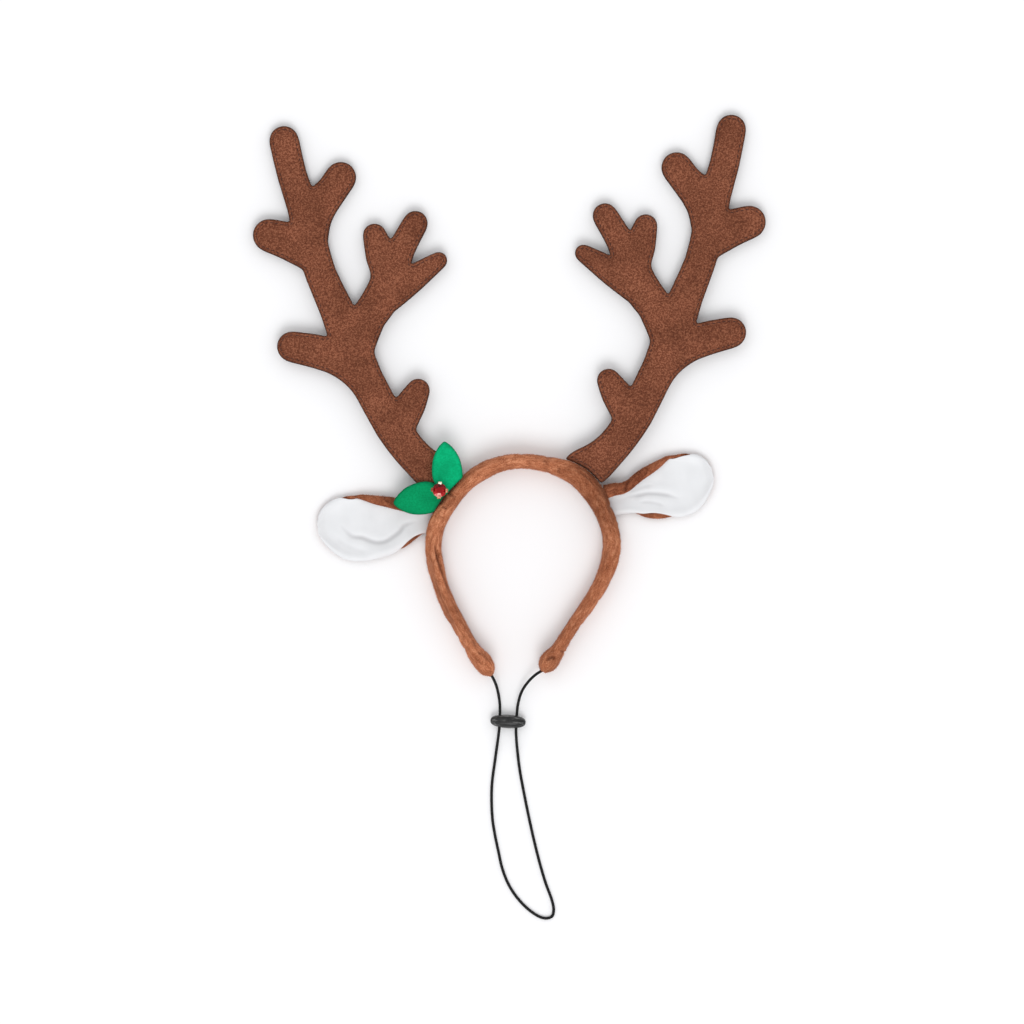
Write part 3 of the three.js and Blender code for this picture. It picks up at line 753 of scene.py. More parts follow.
def off_line(points: Array, line: Array) -> tuple[Array, Array]:
    """Measures how far points lie from a line, seen from above.

    Args:
        points: the points, of which x and y count.
        line: the line's points.

    Returns:
        The signed distance, more than 0 on the line's left, and the share of the way along it.
    """
    start, step = line[:-1, :2], np.diff(line[:, :2], axis=0)
    size = (step**2).sum(axis=1)
    best = np.full(len(points), np.inf)
    side = np.zeros(len(points))
    share = np.zeros(len(points))
    for i in range(len(start)):
        offset = points[:, :2] - start[i]
        t = np.clip(offset @ step[i] / size[i], 0, 1)
        gap = offset - t[:, None] * step[i]
        far = np.linalg.norm(gap, axis=1)
        near = far < best
        best = np.where(near, far, best)
        turn = step[i, 0] * offset[:, 1] - step[i, 1] * offset[:, 0]
        side = np.where(near, np.sign(turn), side)
        share = np.where(near, (i + t) / len(start), share)
    return best * side, share


def hand_over(piece: bpy.types.Object, slot: str, *nodes: str) -> bpy.types.Object:
    """Rides a piece on the headband and says which nodes it stands for.

    Args:
        piece: the finished piece.
        slot: not used.
        nodes: the nodes that it replaces.

    Returns:
        The piece.
    """
    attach(piece, BODY)
    if nodes:
        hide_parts(*nodes)
    triangles = sum(len(face.vertices) - 2 for face in piece.data.polygons)
    log.info("%s: %d triangles, replaces %s", piece.name, triangles, ", ".join(nodes) or "nothing")
    return piece


# Node trees that repeat a small shape


HAIRS_PER_MM2 = 5.4
HAIR_LENGTH = 0.5 * MM
HAIR_RADIUS = 0.045 * MM


class Repeater:
    """A node tree with named inputs, put on a mesh and turned into a plain mesh."""

    def __init__(self, name: str) -> None:
        """Starts the tree with its geometry input and output."""
        self.tree = bpy.data.node_groups.new(name, "GeometryNodeTree")
        self.tree.interface.new_socket("Geometry", in_out="INPUT", socket_type="NodeSocketGeometry")
        self.tree.interface.new_socket("Geometry", in_out="OUTPUT", socket_type="NodeSocketGeometry")
        self.entry = self.tree.nodes.new("NodeGroupInput")
        self.exit = self.tree.nodes.new("NodeGroupOutput")
        self.names: dict[str, str] = {}

    def ask(self, name: str, kind: str) -> bpy.types.NodeSocket:
        """Adds a named input.

        Args:
            name: its name.
            kind: its socket type without the NodeSocket prefix.

        Returns:
            The socket inside the tree.
        """
        socket = self.tree.interface.new_socket(name, in_out="INPUT", socket_type="NodeSocket" + kind)
        self.names[name] = socket.identifier
        return self.entry.outputs[name]

    def node(self, kind: str, inputs: dict[Any, Any] | None = None, **settings: Any) -> bpy.types.Node:
        """Adds a node.

        Args:
            kind: the node's full type.
            inputs: values or output sockets for its inputs, by name or number.
            settings: the node's own properties.

        Returns:
            The new node.
        """
        made = self.tree.nodes.new(kind)
        for name, value in settings.items():
            setattr(made, name, value)
        for name, value in (inputs or {}).items():
            if isinstance(value, bpy.types.NodeSocket):
                self.tree.links.new(value, made.inputs[name])
            else:
                made.inputs[name].default_value = value
        return made

    def close(self, instances: bpy.types.NodeSocket) -> None:
        """Ends the tree in Realize Instances and Set Material."""
        solid = self.node("GeometryNodeRealizeInstances", {"Geometry": instances})
        material = self.ask("Material", "Material")
        dressed = self.node(
            "GeometryNodeSetMaterial", {"Geometry": solid.outputs["Geometry"], "Material": material}
        )
        self.tree.links.new(dressed.outputs["Geometry"], self.exit.inputs["Geometry"])

    def run(self, carrier: bpy.types.Object, finish: Finishes, **values: Any) -> bpy.types.Object:
        """Puts the tree on a mesh and turns the result into the mesh.

        Args:
            carrier: the mesh that the tree reads.
            finish: what the result is made of.
            values: the named inputs, with _ for each space.

        Returns:
            The carrier, now the repeated shapes.
        """
        modifier = carrier.modifiers.new(self.tree.name, "NODES")
        modifier.node_group = self.tree
        for name, value in values.items():
            modifier[self.names[name.replace("_", " ")]] = value
        modifier[self.names["Material"]] = material_of(finish)
        return finished(carrier)


def stitch_repeater() -> Repeater:
    """Builds the tree that lays stitches along a line of edges.

    Returns:
        The tree, with the inputs Spacing and Size, the half sizes of one stitch.
    """
    made = Repeater("Stitches")
    spacing = made.ask("Spacing", "Float")
    size = made.ask("Size", "Vector")
    line = made.node("GeometryNodeMeshToCurve", {"Mesh": made.entry.outputs["Geometry"]})
    places = made.node(
        "GeometryNodeCurveToPoints", {"Curve": line.outputs["Curve"], "Length": spacing}, mode="LENGTH"
    )
    stitch = made.node("GeometryNodeMeshUVSphere", {"Segments": 6, "Rings": 5, "Radius": 1.0})
    laid = made.node(
        "GeometryNodeInstanceOnPoints",
        {
            "Points": places.outputs["Points"],
            "Instance": stitch.outputs["Mesh"],
            "Rotation": places.outputs["Rotation"],
            "Scale": size,
        },
    )
    made.close(laid.outputs["Instances"])
    return made


def pile_repeater() -> Repeater:
    """Builds the tree that stands short hairs on a surface.

    Returns:
        The tree, with the inputs Density, Length, Thickness and Lean.
    """
    made = Repeater("Pile")
    density = made.ask("Density", "Float")
    length = made.ask("Length", "Float")
    # Fewer hairs along the creases, read from the same value that sets their painted shade
    crease_shade = made.node("GeometryNodeInputNamedAttribute", {"Name": "crease_painted_shade"}, data_type="FLOAT")
    free = made.node("ShaderNodeMath", {0: 1.0, 1: crease_shade.outputs["Attribute"]}, operation="SUBTRACT")
    thinned = made.node("ShaderNodeMath", {0: density, 1: free.outputs["Value"]}, operation="MULTIPLY")
    thickness = made.ask("Thickness", "Float")
    lean = made.ask("Lean", "Vector")
    away = made.ask("Lean back", "Vector")
    roots = made.node(
        "GeometryNodeDistributePointsOnFaces",
        {"Mesh": made.entry.outputs["Geometry"], "Density": thinned.outputs["Value"], "Seed": 7},
        distribute_method="RANDOM",
    )
    hair = made.node(
        "GeometryNodeMeshCone",
        {"Vertices": 3, "Side Segments": 1, "Radius Top": 0.0, "Radius Bottom": thickness, "Depth": length},
        fill_type="NGON",
    )
    tilt = made.node("FunctionNodeRandomValue", data_type="FLOAT_VECTOR")
    made.tree.links.new(away, tilt.inputs[0])
    made.tree.links.new(lean, tilt.inputs[1])
    tilt.inputs["Seed"].default_value = 11
    turned = made.node(
        "FunctionNodeRotateRotation",
        {"Rotation": roots.outputs["Rotation"], "Rotate By": tilt.outputs[0]},
        rotation_space="LOCAL",
    )
    grown = made.node("FunctionNodeRandomValue", data_type="FLOAT")
    for index, value in ((2, 0.6), (3, 1.15)):
        grown.inputs[index].default_value = value
    grown.inputs["Seed"].default_value = 5
    stood = made.node(
        "GeometryNodeInstanceOnPoints",
        {
            "Points": roots.outputs["Points"],
            "Instance": hair.outputs["Mesh"],
            "Rotation": turned.outputs["Rotation"],
            "Scale": grown.outputs[1],
        },
    )
    made.close(stood.outputs["Instances"])
    return made


def grow_pile(surface: bpy.types.Object, pile: Repeater) -> None:
    """Stands short hairs on a plush piece.

    Args:
        surface: the finished piece.
        pile: the tree that stands the hairs.
    """
    hairs = linked(f"{surface.name}_pile", surface.data.copy())
    pile.run(
        hairs,
        Finishes.PILE,
        Density=HAIRS_PER_MM2 / MM**2,
        Length=HAIR_LENGTH,
        Thickness=HAIR_RADIUS,
        Lean=(0.95, 0.5, math.pi),
        Lean_back=(-0.2, -0.5, -math.pi),
    )
    hand_over(hairs, "band_plush")


# Studio


@dataclass
class Studio:
    """The surface that the headband lies on, its light and the camera straight above it."""

    picture_width: float = 397.3
    picture_middle: tuple[float, float] = (-4.07, -19.8)
    camera_height: float = 2400.0
    sensor: float = 36.0
    view_end: float = 20.0
    floor_size: float = 6000.0
    sky: tuple[float, float, float, float] = (0.99, 0.993, 1.0, 1.0)
    sky_strength: float = 0.79

    # Each light's name, place in metres, side in metres and power in watts
    lights = (
        ("key", (0.2, -2.4, 3.6), 2.3, 68.0),
        ("fill", (-0.8, 1.5, 3.0), 2.0, 8.0),
    )

    def camera(self) -> None:
        """Makes the camera look straight down, with the photograph's frame."""
        data = bpy.data.cameras.new("camera")
        data.sensor_width = self.sensor
        data.lens = self.sensor * self.camera_height / self.picture_width
        data.clip_end = self.view_end
        camera = linked("camera", data)
        camera.location = [value * MM for value in (*self.picture_middle, self.camera_height)]
        bpy.context.scene.camera = camera

    def light(self, name: str, place: Sequence[float], size: float, power: float) -> None:
        """Adds a square soft light that faces the headband.

        Args:
            name: its name.
            place: where it is, in metres.
            size: its side, in metres.
            power: its power in watts.
        """
        data = bpy.data.lights.new(name, "AREA")
        data.size = size
        data.energy = power
        lamp = linked(name, data)
        lamp.location = place
        lamp.rotation_euler = (-Vector(place)).to_track_quat("-Z", "Y").to_euler()

    def build(self) -> None:
        """Makes the floor, the lights and the world."""
        half = self.floor_size / 2
        corners = np.array([[-half, -half, 0], [half, -half, 0], [half, half, 0], [-half, half, 0]])
        floor = make_object("floor", corners, [[0, 1, 2, 3]], Finishes.FLOOR)
        for row in self.lights:
            self.light(*row)
        world = bpy.data.worlds.new("world")
        world.use_nodes = True
        background = world.node_tree.nodes["Background"]
        background.inputs["Color"].default_value = self.sky
        background.inputs["Strength"].default_value = self.sky_strength
        bpy.context.scene.world = world
        bpy.context.scene.view_settings.view_transform = "Standard"


# Band


@dataclass
class Band:
    """The padded plush band, gathered into a bulb at each end."""

    half_span: float = 34.65
    drop: float = 81.1
    thickness: float = 6.2
    width: float = 12.0
    squareness: float = 2.6
    sole: float = 0.93
    rings: int = 250
    sides: int = 40
    gather_reach: float = 7.0
    gather_folds: int = 9
    gather_depth: float = 0.09
    pole_depth: float = 0.2
    pile_depth: float = 0.3
    swell_cap: float = 0.5
    sim_scale: float = 20.0
    sim_frames: int = 20
    sewn_height: float = 0.6
    seam_give: float = 0.6
    fill: float = 0.7

    # How each end closes: the size of a ring as a share of the last one, and how far it lies past that
    closing = ((0.72, 0.35), (0.45, 0.45), (0.22, 0.2))

    # The cover's cloth, by the names of its settings
    cloth = (
        ("quality", 5),
        ("mass", 0.3),
        ("tension_stiffness", 15),
        ("compression_stiffness", 15),
        ("shear_stiffness", 5),
        ("bending_stiffness", 0.6),
        ("use_pressure", True),
        ("uniform_pressure_force", 4),
        ("shrink_min", -0.05),
        ("vertex_group_mass", "sewn"),
        ("pin_stiffness", 1.0),
    )

    # Painted shade, set by which way the nap is taken to lie: the share of the way round the band, and how
    # far it lies away from the light
    nap_and_painted_shade = (
        (0.0, 0.0),
        (0.06, 0.0),
        (0.13, 0.35),
        (0.2, 0.1),
        (0.28, 0.0),
        (0.34, 0.3),
        (0.4, 0.1),
        (0.45, 0.0),
        (0.55, 0.0),
        (0.6, 0.6),
        (0.65, 1.0),
        (0.7, 0.8),
        (0.76, 0.25),
        (0.85, 0.1),
        (0.93, 0.3),
        (0.97, 0.5),
        (1.0, 0.5),
    )

    # across, down, thick and tall: shares of the half span, the drop, the thickness and the width
    rows = (
        (-0.355, 1.020, 0.45, 0.45),
        (-0.385, 1.002, 0.92, 0.84),
        (-0.445, 0.964, 1.18, 1.0),
        (-0.52, 0.926, 1.03, 1.0),
        (-0.59, 0.880, 0.86, 0.98),
        (-0.73, 0.770, 0.88, 1.0),
        (-0.84, 0.684, 0.93, 1.0),
        (-0.96, 0.536, 0.95, 1.0),
        (-1.00, 0.421, 0.95, 1.0),
        (-0.98, 0.335, 1.00, 1.0),
        (-0.90, 0.253, 0.98, 1.0),
        (-0.65, 0.112, 0.95, 1.0),
        (-0.44, 0.047, 1.02, 1.0),
        (-0.24, 0.012, 0.92, 1.0),
        (0.0, 0.0, 0.86, 1.0),
        (0.25, 0.013, 0.94, 1.0),
        (0.50, 0.045, 1.18, 1.0),
        (0.66, 0.086, 1.33, 1.0),
        (0.80, 0.153, 1.32, 1.0),
        (0.90, 0.230, 1.15, 1.0),
        (0.98, 0.325, 1.06, 1.0),
        (1.00, 0.411, 1.06, 1.0),
        (0.97, 0.488, 1.03, 1.0),
        (0.90, 0.571, 0.96, 1.0),
        (0.78, 0.660, 0.85, 1.0),
        (0.59, 0.775, 0.76, 1.0),
        (0.47, 0.854, 0.78, 0.98),
        (0.395, 0.907, 0.88, 1.0),
        (0.316, 0.950, 1.22, 1.0),
        (0.268, 0.985, 1.04, 0.86),
        (0.247, 1.004, 0.50, 0.45),
    )

    # Creases of the cover: points in millimetres, depth, half width, the ridge beside it and how dark its
    # painted shade is
    creases = (
        (
            ((-33.6, -32.0), (-33.0, -36.5), (-31.6, -41.5), (-29.7, -46.6), (-27.7, -52.0)),
            *(1.3, 0.55, 0.6, 1.0),
        ),
        (((-35.8, -36.0), (-35.0, -42.0), (-32.8, -50.0), (-29.5, -57.0)), 0.3, 1.3, 0.15, 0.45),
        (((-30.5, -55.0), (-28.6, -59.5), (-26.0, -65.0)), 0.35, 0.9, 0.2, 0.5),
        (((14.3, -2.2), (13.7, -5.4)), 0.55, 0.5, 0.35, 0.5),
        (
            ((17.0, 0.2), (23.0, -2.8), (28.5, -7.6), (32.8, -14.0), (34.9, -21.5), (35.2, -28.0)),
            *(0.4, 1.5, 0.2, 0.55),
        ),
        (((20.0, -3.2), (24.4, -6.0), (28.2, -9.8)), 0.5, 0.5, 0.5, 0.35),
        (((28.0, -12.5), (31.2, -18.5), (32.4, -25.5)), 0.25, 0.8, 0.2, 0.3),
        (((-31.3, -17.4), (-29.0, -18.8)), 0.6, 0.45, 0.25, 0.9),
        (((-28.8, -12.3), (-25.8, -14.6)), 0.4, 0.5, 0.25, 0.5),
        (((-32.5, -21.5), (-30.4, -22.0)), 0.3, 0.5, 0.2, 0.3),
        (((-7.0, 0.6), (-6.0, -2.6)), 0.3, 0.6, 0.2, 0.2),
        (((2.0, 0.8), (3.4, -2.2)), 0.25, 0.7, 0.15, 0.2),
        (((8.0, 0.8), (10.2, -1.8)), 0.25, 0.7, 0.15, 0.25),
        (((33.6, -33.0), (30.6, -40.0)), 0.25, 0.9, 0.2, 0.3),
        (((27.0, -51.5), (23.0, -58.0), (19.6, -63.5)), 0.3, 0.8, 0.2, 0.3),
        (((21.5, -61.5), (18.0, -67.0)), 0.35, 0.6, 0.2, 0.4),
        (((9.2, -77.4), (11.0, -76.0), (13.6, -76.6)), 0.6, 0.7, 0.3, 0.8),
        (((14.4, -73.2), (16.9, -74.4)), 0.6, 0.5, 0.3, 0.7),
        (((-17.8, -73.6), (-15.0, -74.8), (-12.8, -77.6)), 0.45, 0.7, 0.25, 0.5),
        (((-19.6, -69.0), (-17.4, -72.6)), 0.4, 0.7, 0.2, 0.4),
    )

    def shape(self) -> tuple[Array, Array]:
        """Works out the rings of the band.

        Returns:
            The rings, and the two end points that close them.
        """
        table = np.array(self.rows)
        line = spline(np.column_stack([table[:, 0] * self.half_span, -table[:, 1] * self.drop, table[:, 2:]]))
        line = evenly(line, self.rings)
        self.line = line[:, :2]
        middle = self.width / 2 * self.sole
        tangent = np.gradient(line[:, :2], axis=0)
        tangent /= np.linalg.norm(tangent, axis=1)[:, None]
        outward = np.column_stack([-tangent[:, 1], tangent[:, 0]])
        angle = (np.arange(self.sides) + 0.5) / self.sides * 2 * np.pi
        power = 2 / self.squareness
        side = np.sign(np.cos(angle)) * np.abs(np.cos(angle)) ** power
        up = np.sign(np.sin(angle)) * np.abs(np.sin(angle)) ** power
        at = lengths(line, 2)
        to_end = np.minimum(at, at[-1] - at)
        gather = np.clip(1 - to_end / self.gather_reach, 0, 1)[:, None]
        pleat = 1 + self.gather_depth * gather * np.cos(self.gather_folds * angle)[None, :]
        half = line[:, 2, None] * self.thickness / 2 - self.pile_depth
        wide = half * side[None, :] * pleat
        tall = line[:, 3, None] * self.width / 2 * up[None, :] * pleat
        rings = np.empty((self.rings, self.sides, 3))
        rings[:, :, :2] = line[:, None, :2] + wide[:, :, None] * outward[:, None, :]
        rings[:, :, 2] = np.maximum(middle + tall, LOWEST)
        ends, poles = [], []
        for end, way in ((0, -1), (-1, 1)):
            centre = rings[end].mean(axis=0)
            forward = np.array([*tangent[end], 0]) * way
            closing = [
                centre + (rings[end] - centre) * share + forward * reach
                for share, reach in self.closing
            ]
            ends.append(closing if way > 0 else closing[::-1])
            poles.append(centre - forward * self.pole_depth)
        return np.concatenate([ends[0], rings, ends[1]]), np.array(poles)

    def fill_out(self, band: bpy.types.Object) -> None:
        """Simulates the stuffed cover, which swells and wrinkles about the size that it was cut to.

        Args:
            band: the band, which keeps the result as its mesh.
        """
        scale = self.sim_scale
        start, out = points_of(band), normals_of(band)
        sewn = band.vertex_groups.new(name="sewn")
        reach = np.minimum(start[:, 2] / self.sewn_height, 1)
        for i, height in enumerate(reach):
            if height < 1 or i % self.sides in (0, self.sides - 1):
                sewn.add([i], 1.0 - self.seam_give * float(height), "REPLACE")
        set_points(band, start * scale)
        cloth = band.modifiers.new("Cloth", "CLOTH")
        for name, value in self.cloth:
            setattr(cloth.settings, name, value)
        cloth.settings.effector_weights.gravity = 0
        cloth.collision_settings.use_collision = False
        scene = bpy.context.scene
        for step in range(self.sim_frames):
            scene.frame_set(step + 1)
        finished(band)
        scene.frame_set(1)
        move = points_of(band) / scale - start
        move -= out * np.median((move * out).sum(axis=1))
        far = np.linalg.norm(move, axis=1)[:, None]
        moved = start + move * np.minimum(1, self.swell_cap / np.maximum(far, 1e-6))
        moved[:, 2] = np.maximum(moved[:, 2], LOWEST)
        set_points(band, moved)
        log.info("cover simulated: points moved %.2f mm at most", far.max())

    def crease(self, band: bpy.types.Object) -> None:
        """Presses the cover's creases into its upper side with painted shade along them, and stores painted
        shade where its nap is taken to lie away from the light.

        Args:
            band: the band.
        """
        start, normals = points_of(band), normals_of(band)
        points = start.copy()
        crease_shade = np.zeros(len(start))
        upper = np.clip(1.4 * normals[:, 2] + 0.5, 0, 1)
        for line, depth, wide, ridge, dark in self.creases:
            off, share = off_line(start, spline(np.array(line)))
            ends = np.clip(4 * np.minimum(share, 1 - share), 0, 1) * upper
            groove = np.exp(-((off / wide) ** 2))
            lip = np.exp(-(((np.abs(off) - 1.7 * wide) / wide) ** 2))
            points += normals * ((ridge * lip - depth * groove) * ends)[:, None]
            # Painted shade along each crease
            crease_shade = np.maximum(crease_shade, dark * groove * ends)
        points[:, 2] = np.maximum(points[:, 2], LOWEST)
        set_points(band, points)
        store(band, "crease_painted_shade", crease_shade)
        # Painted shade along the band, stored for the plush to darken by
        shares, lies = np.array(self.nap_and_painted_shade).T
        store(band, "nap_and_painted_shade", np.interp(off_line(start, self.line)[1], shares, lies))

    def build(self, pile: Repeater) -> bpy.types.Object:
        """Makes the band.

        Args:
            pile: the tree that stands hairs on plush.

        Returns:
            The band.
        """
        rings, poles = self.shape()
        band = tube("padded_band", rings, poles, Finishes.PLUSH)
        self.fill_out(band)
        subdivided(band)
        self.crease(band)
        hand_over(band, "band_plush", "band")
        grow_pile(band, pile)
        return band


# Felt pieces


class Side(Enum):
    """Which side of a felt layer is its outer one."""

    UP = 1
    DOWN = -1


@dataclass
class FeltPiece:
    """A flat felt piece, cut to the outline of its node. Its sizes are in millimetres."""

    name: str
    node: str
    finish: Finishes
    slot: str
    outer: Side = Side.UP
    spacing: float = 1.3
    edge_round: float = 0.3
    smoothing: float = 0.9
    puff: float = 0.0
    seam: float = 0.0
    seam_depth: float = 0.0
    seam_width: float = 0.42
    dark_edge: float = 0.35
    puff_reach: float = 2.2
    unevenness: float = 0.05
    unevenness_step: float = 0.45

    # The least slope of an upper face, and the sheet's area as a share of half the surface
    level: float = 0.85
    without_edge: float = 0.985

    crease: tuple | None = None
    cut: tuple | None = None

    def outline(self) -> None:
        """Reads the node's outline, and the plane that its upper side lies in."""
        mesh = bmesh.new()
        mesh.from_mesh(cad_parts[self.node].data)
        bmesh.ops.remove_doubles(mesh, verts=mesh.verts, dist=WELD)
        mesh.normal_update()
        upper = {face for face in mesh.faces if face.normal.z > self.level}
        lower = {face for face in mesh.faces if face.normal.z < -self.level}
        normal = sum((face.normal * face.calc_area() for face in upper), Vector()).normalized()
        right = Vector((1, 0, 0)) - normal * normal.x
        self.axes = np.array([right.normalized(), normal.cross(right).normalized(), normal])
        self.top = max(self.axes[2] @ np.array(v.co) / MM for face in upper for v in face.verts)
        self.bottom = min(self.axes[2] @ np.array(v.co) / MM for face in lower for v in face.verts)
        following = {}
        for face in upper:
            for loop in face.loops:
                neighbours = set(loop.edge.link_faces) - {face}
                if not neighbours & upper:
                    following[loop.vert] = loop.link_loop_next.vert
        start = max(following, key=lambda v: v.co.y)
        ring, here = [], start
        while here is not start or not ring:
            ring.append(self.axes @ (np.array(here.co) / MM))
            here = following[here]
        mesh.free()
        self.ring = self.smooth(np.array(ring)[:, :2])

    def smooth(self, ring: Array) -> Array:
        """Rounds the outline's facets.

        Args:
            ring: its corners.

        Returns:
            Even points round it, half the spacing apart.
        """
        closed = np.vstack([ring, ring[:1]])
        step = self.spacing / 2
        if self.cut is not None:
            middle, radius = self.cut
            closed = evenly(closed, int(lengths(closed, 2)[-1] / step))
            closed = closed[np.linalg.norm(closed - middle, axis=1) > radius]
        count = int(lengths(closed, 2)[-1] / step)
        even = evenly(closed, count + 1)[:-1]
        reach = int(math.ceil(2.5 * self.smoothing / step))
        weights = np.exp(-0.5 * (np.arange(-reach, reach + 1) * step / self.smoothing) ** 2)
        weights /= weights.sum()
        return sum(w * np.roll(even, k - reach, axis=0) for k, w in enumerate(weights))

    def inset(self, far: float) -> Array:
        """Returns the outline moved in by a distance, without the points that come too near another side."""
        ahead = np.roll(self.ring, -1, axis=0) - np.roll(self.ring, 1, axis=0)
        ahead /= np.linalg.norm(ahead, axis=1)[:, None]
        moved = self.ring + far * np.column_stack([-ahead[:, 1], ahead[:, 0]])
        return moved[self.depth(moved) > 0.97 * far]

    def depth(self, points: Array) -> Array:
        """Returns how far points lie inside the outline, or less than 0 outside it."""
        closed = np.vstack([self.ring, self.ring[:1]])
        far = np.abs(off_line(points, closed)[0])
        x, y = points[:, 0, None], points[:, 1, None]
        a, b = self.ring, np.roll(self.ring, -1, axis=0)
        crosses = (a[:, 1] > y) != (b[:, 1] > y)
        rise = np.where(b[:, 1] == a[:, 1], 1e-9, b[:, 1] - a[:, 1])
        at = a[:, 0] + (y - a[:, 1]) / rise * (b[:, 0] - a[:, 0])
        inside = (crosses & (x < at)).sum(axis=1) % 2 == 1
        return np.where(inside, far, -far)

    def fill(self) -> tuple[Array, Array]:
        """Fills the outline with triangles.

        Returns:
            The points, with the outline's own first, and the triangles.
        """
        low, high = self.ring.min(axis=0), self.ring.max(axis=0)
        rows = np.arange(low[1], high[1], self.spacing * 0.87)
        grid = np.array(
            [
                (x + (self.spacing / 2 if number % 2 else 0), y)
                for number, y in enumerate(rows)
                for x in np.arange(low[0], high[0], self.spacing)
            ]
        )
        rings = [self.edge_round]
        if self.seam:
            rings += [self.seam + off for off in (-0.4, 0.0, 0.4)]
        kept = grid[self.depth(grid) > rings[-1] + 0.6 * self.spacing]
        inner = [self.inset(far) for far in rings]
        points = np.vstack([self.ring, *inner, kept])
        count = len(self.ring)
        edges = [(i, (i + 1) % count) for i in range(count)]
        result = geometry.delaunay_2d_cdt([Vector(point) for point in points], edges, [], 0, 1e-5, False)
        flat, triangles = np.array([tuple(v) for v in result[0]]), np.array(result[2])
        return flat, triangles[self.depth(flat[triangles].mean(axis=1)) > 0]

    def build(self) -> bpy.types.Object:
        """Makes the piece.

        Returns:
            The piece, with its outer side puffed and its seam pressed in.
        """
        self.outline()
        flat, triangles = self.fill()
        depth = np.maximum(self.depth(flat), 0)
        depth[: len(self.ring)] = 0
        drop = self.edge_round * (1 - np.clip(depth / self.edge_round, 0, 1)) ** 2
        form = self.puff * (1 - np.exp(-np.maximum(depth - self.seam, 0) / self.puff_reach))
        if self.seam:
            form -= self.seam_depth * np.exp(-(((depth - self.seam) / self.seam_width) ** 2))
        if self.crease is not None:
            line, deep, wide = self.crease
            off, share = off_line(flat, line)
            form -= deep * np.exp(-((off / wide) ** 2)) * (1 - share)
        uneven = [
            self.unevenness * noise.noise(Vector((*point, 3.0)) * self.unevenness_step) for point in flat
        ]
        form += np.array(uneven) * np.clip(depth, 0, 1)
        up = self.top - drop + (form if self.outer is Side.UP else 0)
        down = self.bottom + drop - (form if self.outer is Side.DOWN else 0)
        count, rim = len(flat), len(self.ring)
        points = np.vstack([np.column_stack([flat, up]), np.column_stack([flat, down])]) @ self.axes
        faces = [*triangles, *(triangles[:, ::-1] + count)]
        faces += [[a, (a + 1) % rim, count + (a + 1) % rim, count + a] for a in range(rim)]
        piece = make_object(self.name, points, faces, self.finish)
        face_out(piece)
        # How far in the outline's darkening reaches: cut edge and painted shade
        store(piece, "edge", np.tile(np.exp(-depth / self.dark_edge), 2))
        hand_over(piece, self.slot, self.node)
        return piece

    def seam_line(self, clear_of: BVHTree, clearance: float) -> list[Array]:
        """Works out the line that the stitches follow.

        Args:
            clear_of: what the line stops short of.
            clearance: how far off it stops.

        Returns:
            The line's runs, in millimetres.
        """
        flat = self.inset(self.seam)
        level = self.top if self.outer is Side.UP else self.bottom
        height = np.full(len(flat), level - self.outer.value * 0.6 * self.seam_depth)
        line = np.column_stack([flat, height]) @ self.axes
        keep = np.array([clear_of.find_nearest(Vector(p))[3] > clearance for p in line])
        first = int(np.argmin(keep))
        line, keep = np.roll(line, -first, axis=0), np.roll(keep, -first)
        runs, run = [], []
        for point, kept in zip(line, keep):
            if kept:
                run.append(point)
            elif run:
                runs.append(np.array(run))
                run = []
        if run:
            runs.append(np.array(run))
        return [r for r in runs if len(r) > 5]


@dataclass
class Antler:
    """Two felt layers sewn together round their edge, and sewn to the band."""

    side: str
    cut: tuple | None = None
    seam: float = 1.35
    seam_depth: float = 0.28
    puff: float = 0.35
    band_clearance: float = 1.6
    stitch: tuple[float, float, float] = (0.17, 0.15, 0.72)
    stitch_step: float = 2.0

    def build(self, band: BVHTree, stitches: Repeater) -> None:
        """Makes the layers and their stitches.

        Args:
            band: the band's search tree.
            stitches: the tree that lays stitches.
        """
        for face, outer, puff in (("front", Side.UP, self.puff), ("back", Side.DOWN, 0.0)):
            node = f"antler_{self.side}_{face}"
            layer = FeltPiece(
                f"{node}_felt",
                node,
                Finishes.ANTLER_FELT,
                "antler_felt",
                outer=outer,
                puff=puff,
                seam=self.seam,
                seam_depth=self.seam_depth,
                cut=self.cut,
            )
            layer.build()
            sewing = wire(f"{node}_stitches", layer.seam_line(band, self.band_clearance))
            stitches.run(
                sewing,
                Finishes.THREAD,
                Spacing=self.stitch_step * MM,
                Size=[size * MM for size in self.stitch],
            )
            hand_over(sewing, "antler_felt")


def wire(name: str, runs: Sequence[Array]) -> bpy.types.Object:
    """Makes a mesh of edges only, along lines.

    Args:
        name: its name.
        runs: the lines' points in millimetres.

    Returns:
        The mesh object.
    """
    points, edges = [], []
    for run in runs:
        edges += [(len(points) + i, len(points) + i + 1) for i in range(len(run) - 1)]
        points += (run * MM).tolist()
    mesh = bpy.data.meshes.new(name)
    mesh.from_pydata(points, edges, [])
    return linked(name, mesh)


# Ears


def round_edges(across: Array) -> Array:
    """Returns how thick a layer is across, as a share: it thins towards both its edges."""
    near = np.clip(np.minimum(across - across[0], across[-1] - across) / 0.03, 0, 1)
    return 0.25 + 0.75 * np.sqrt(1 - (1 - near) ** 2)


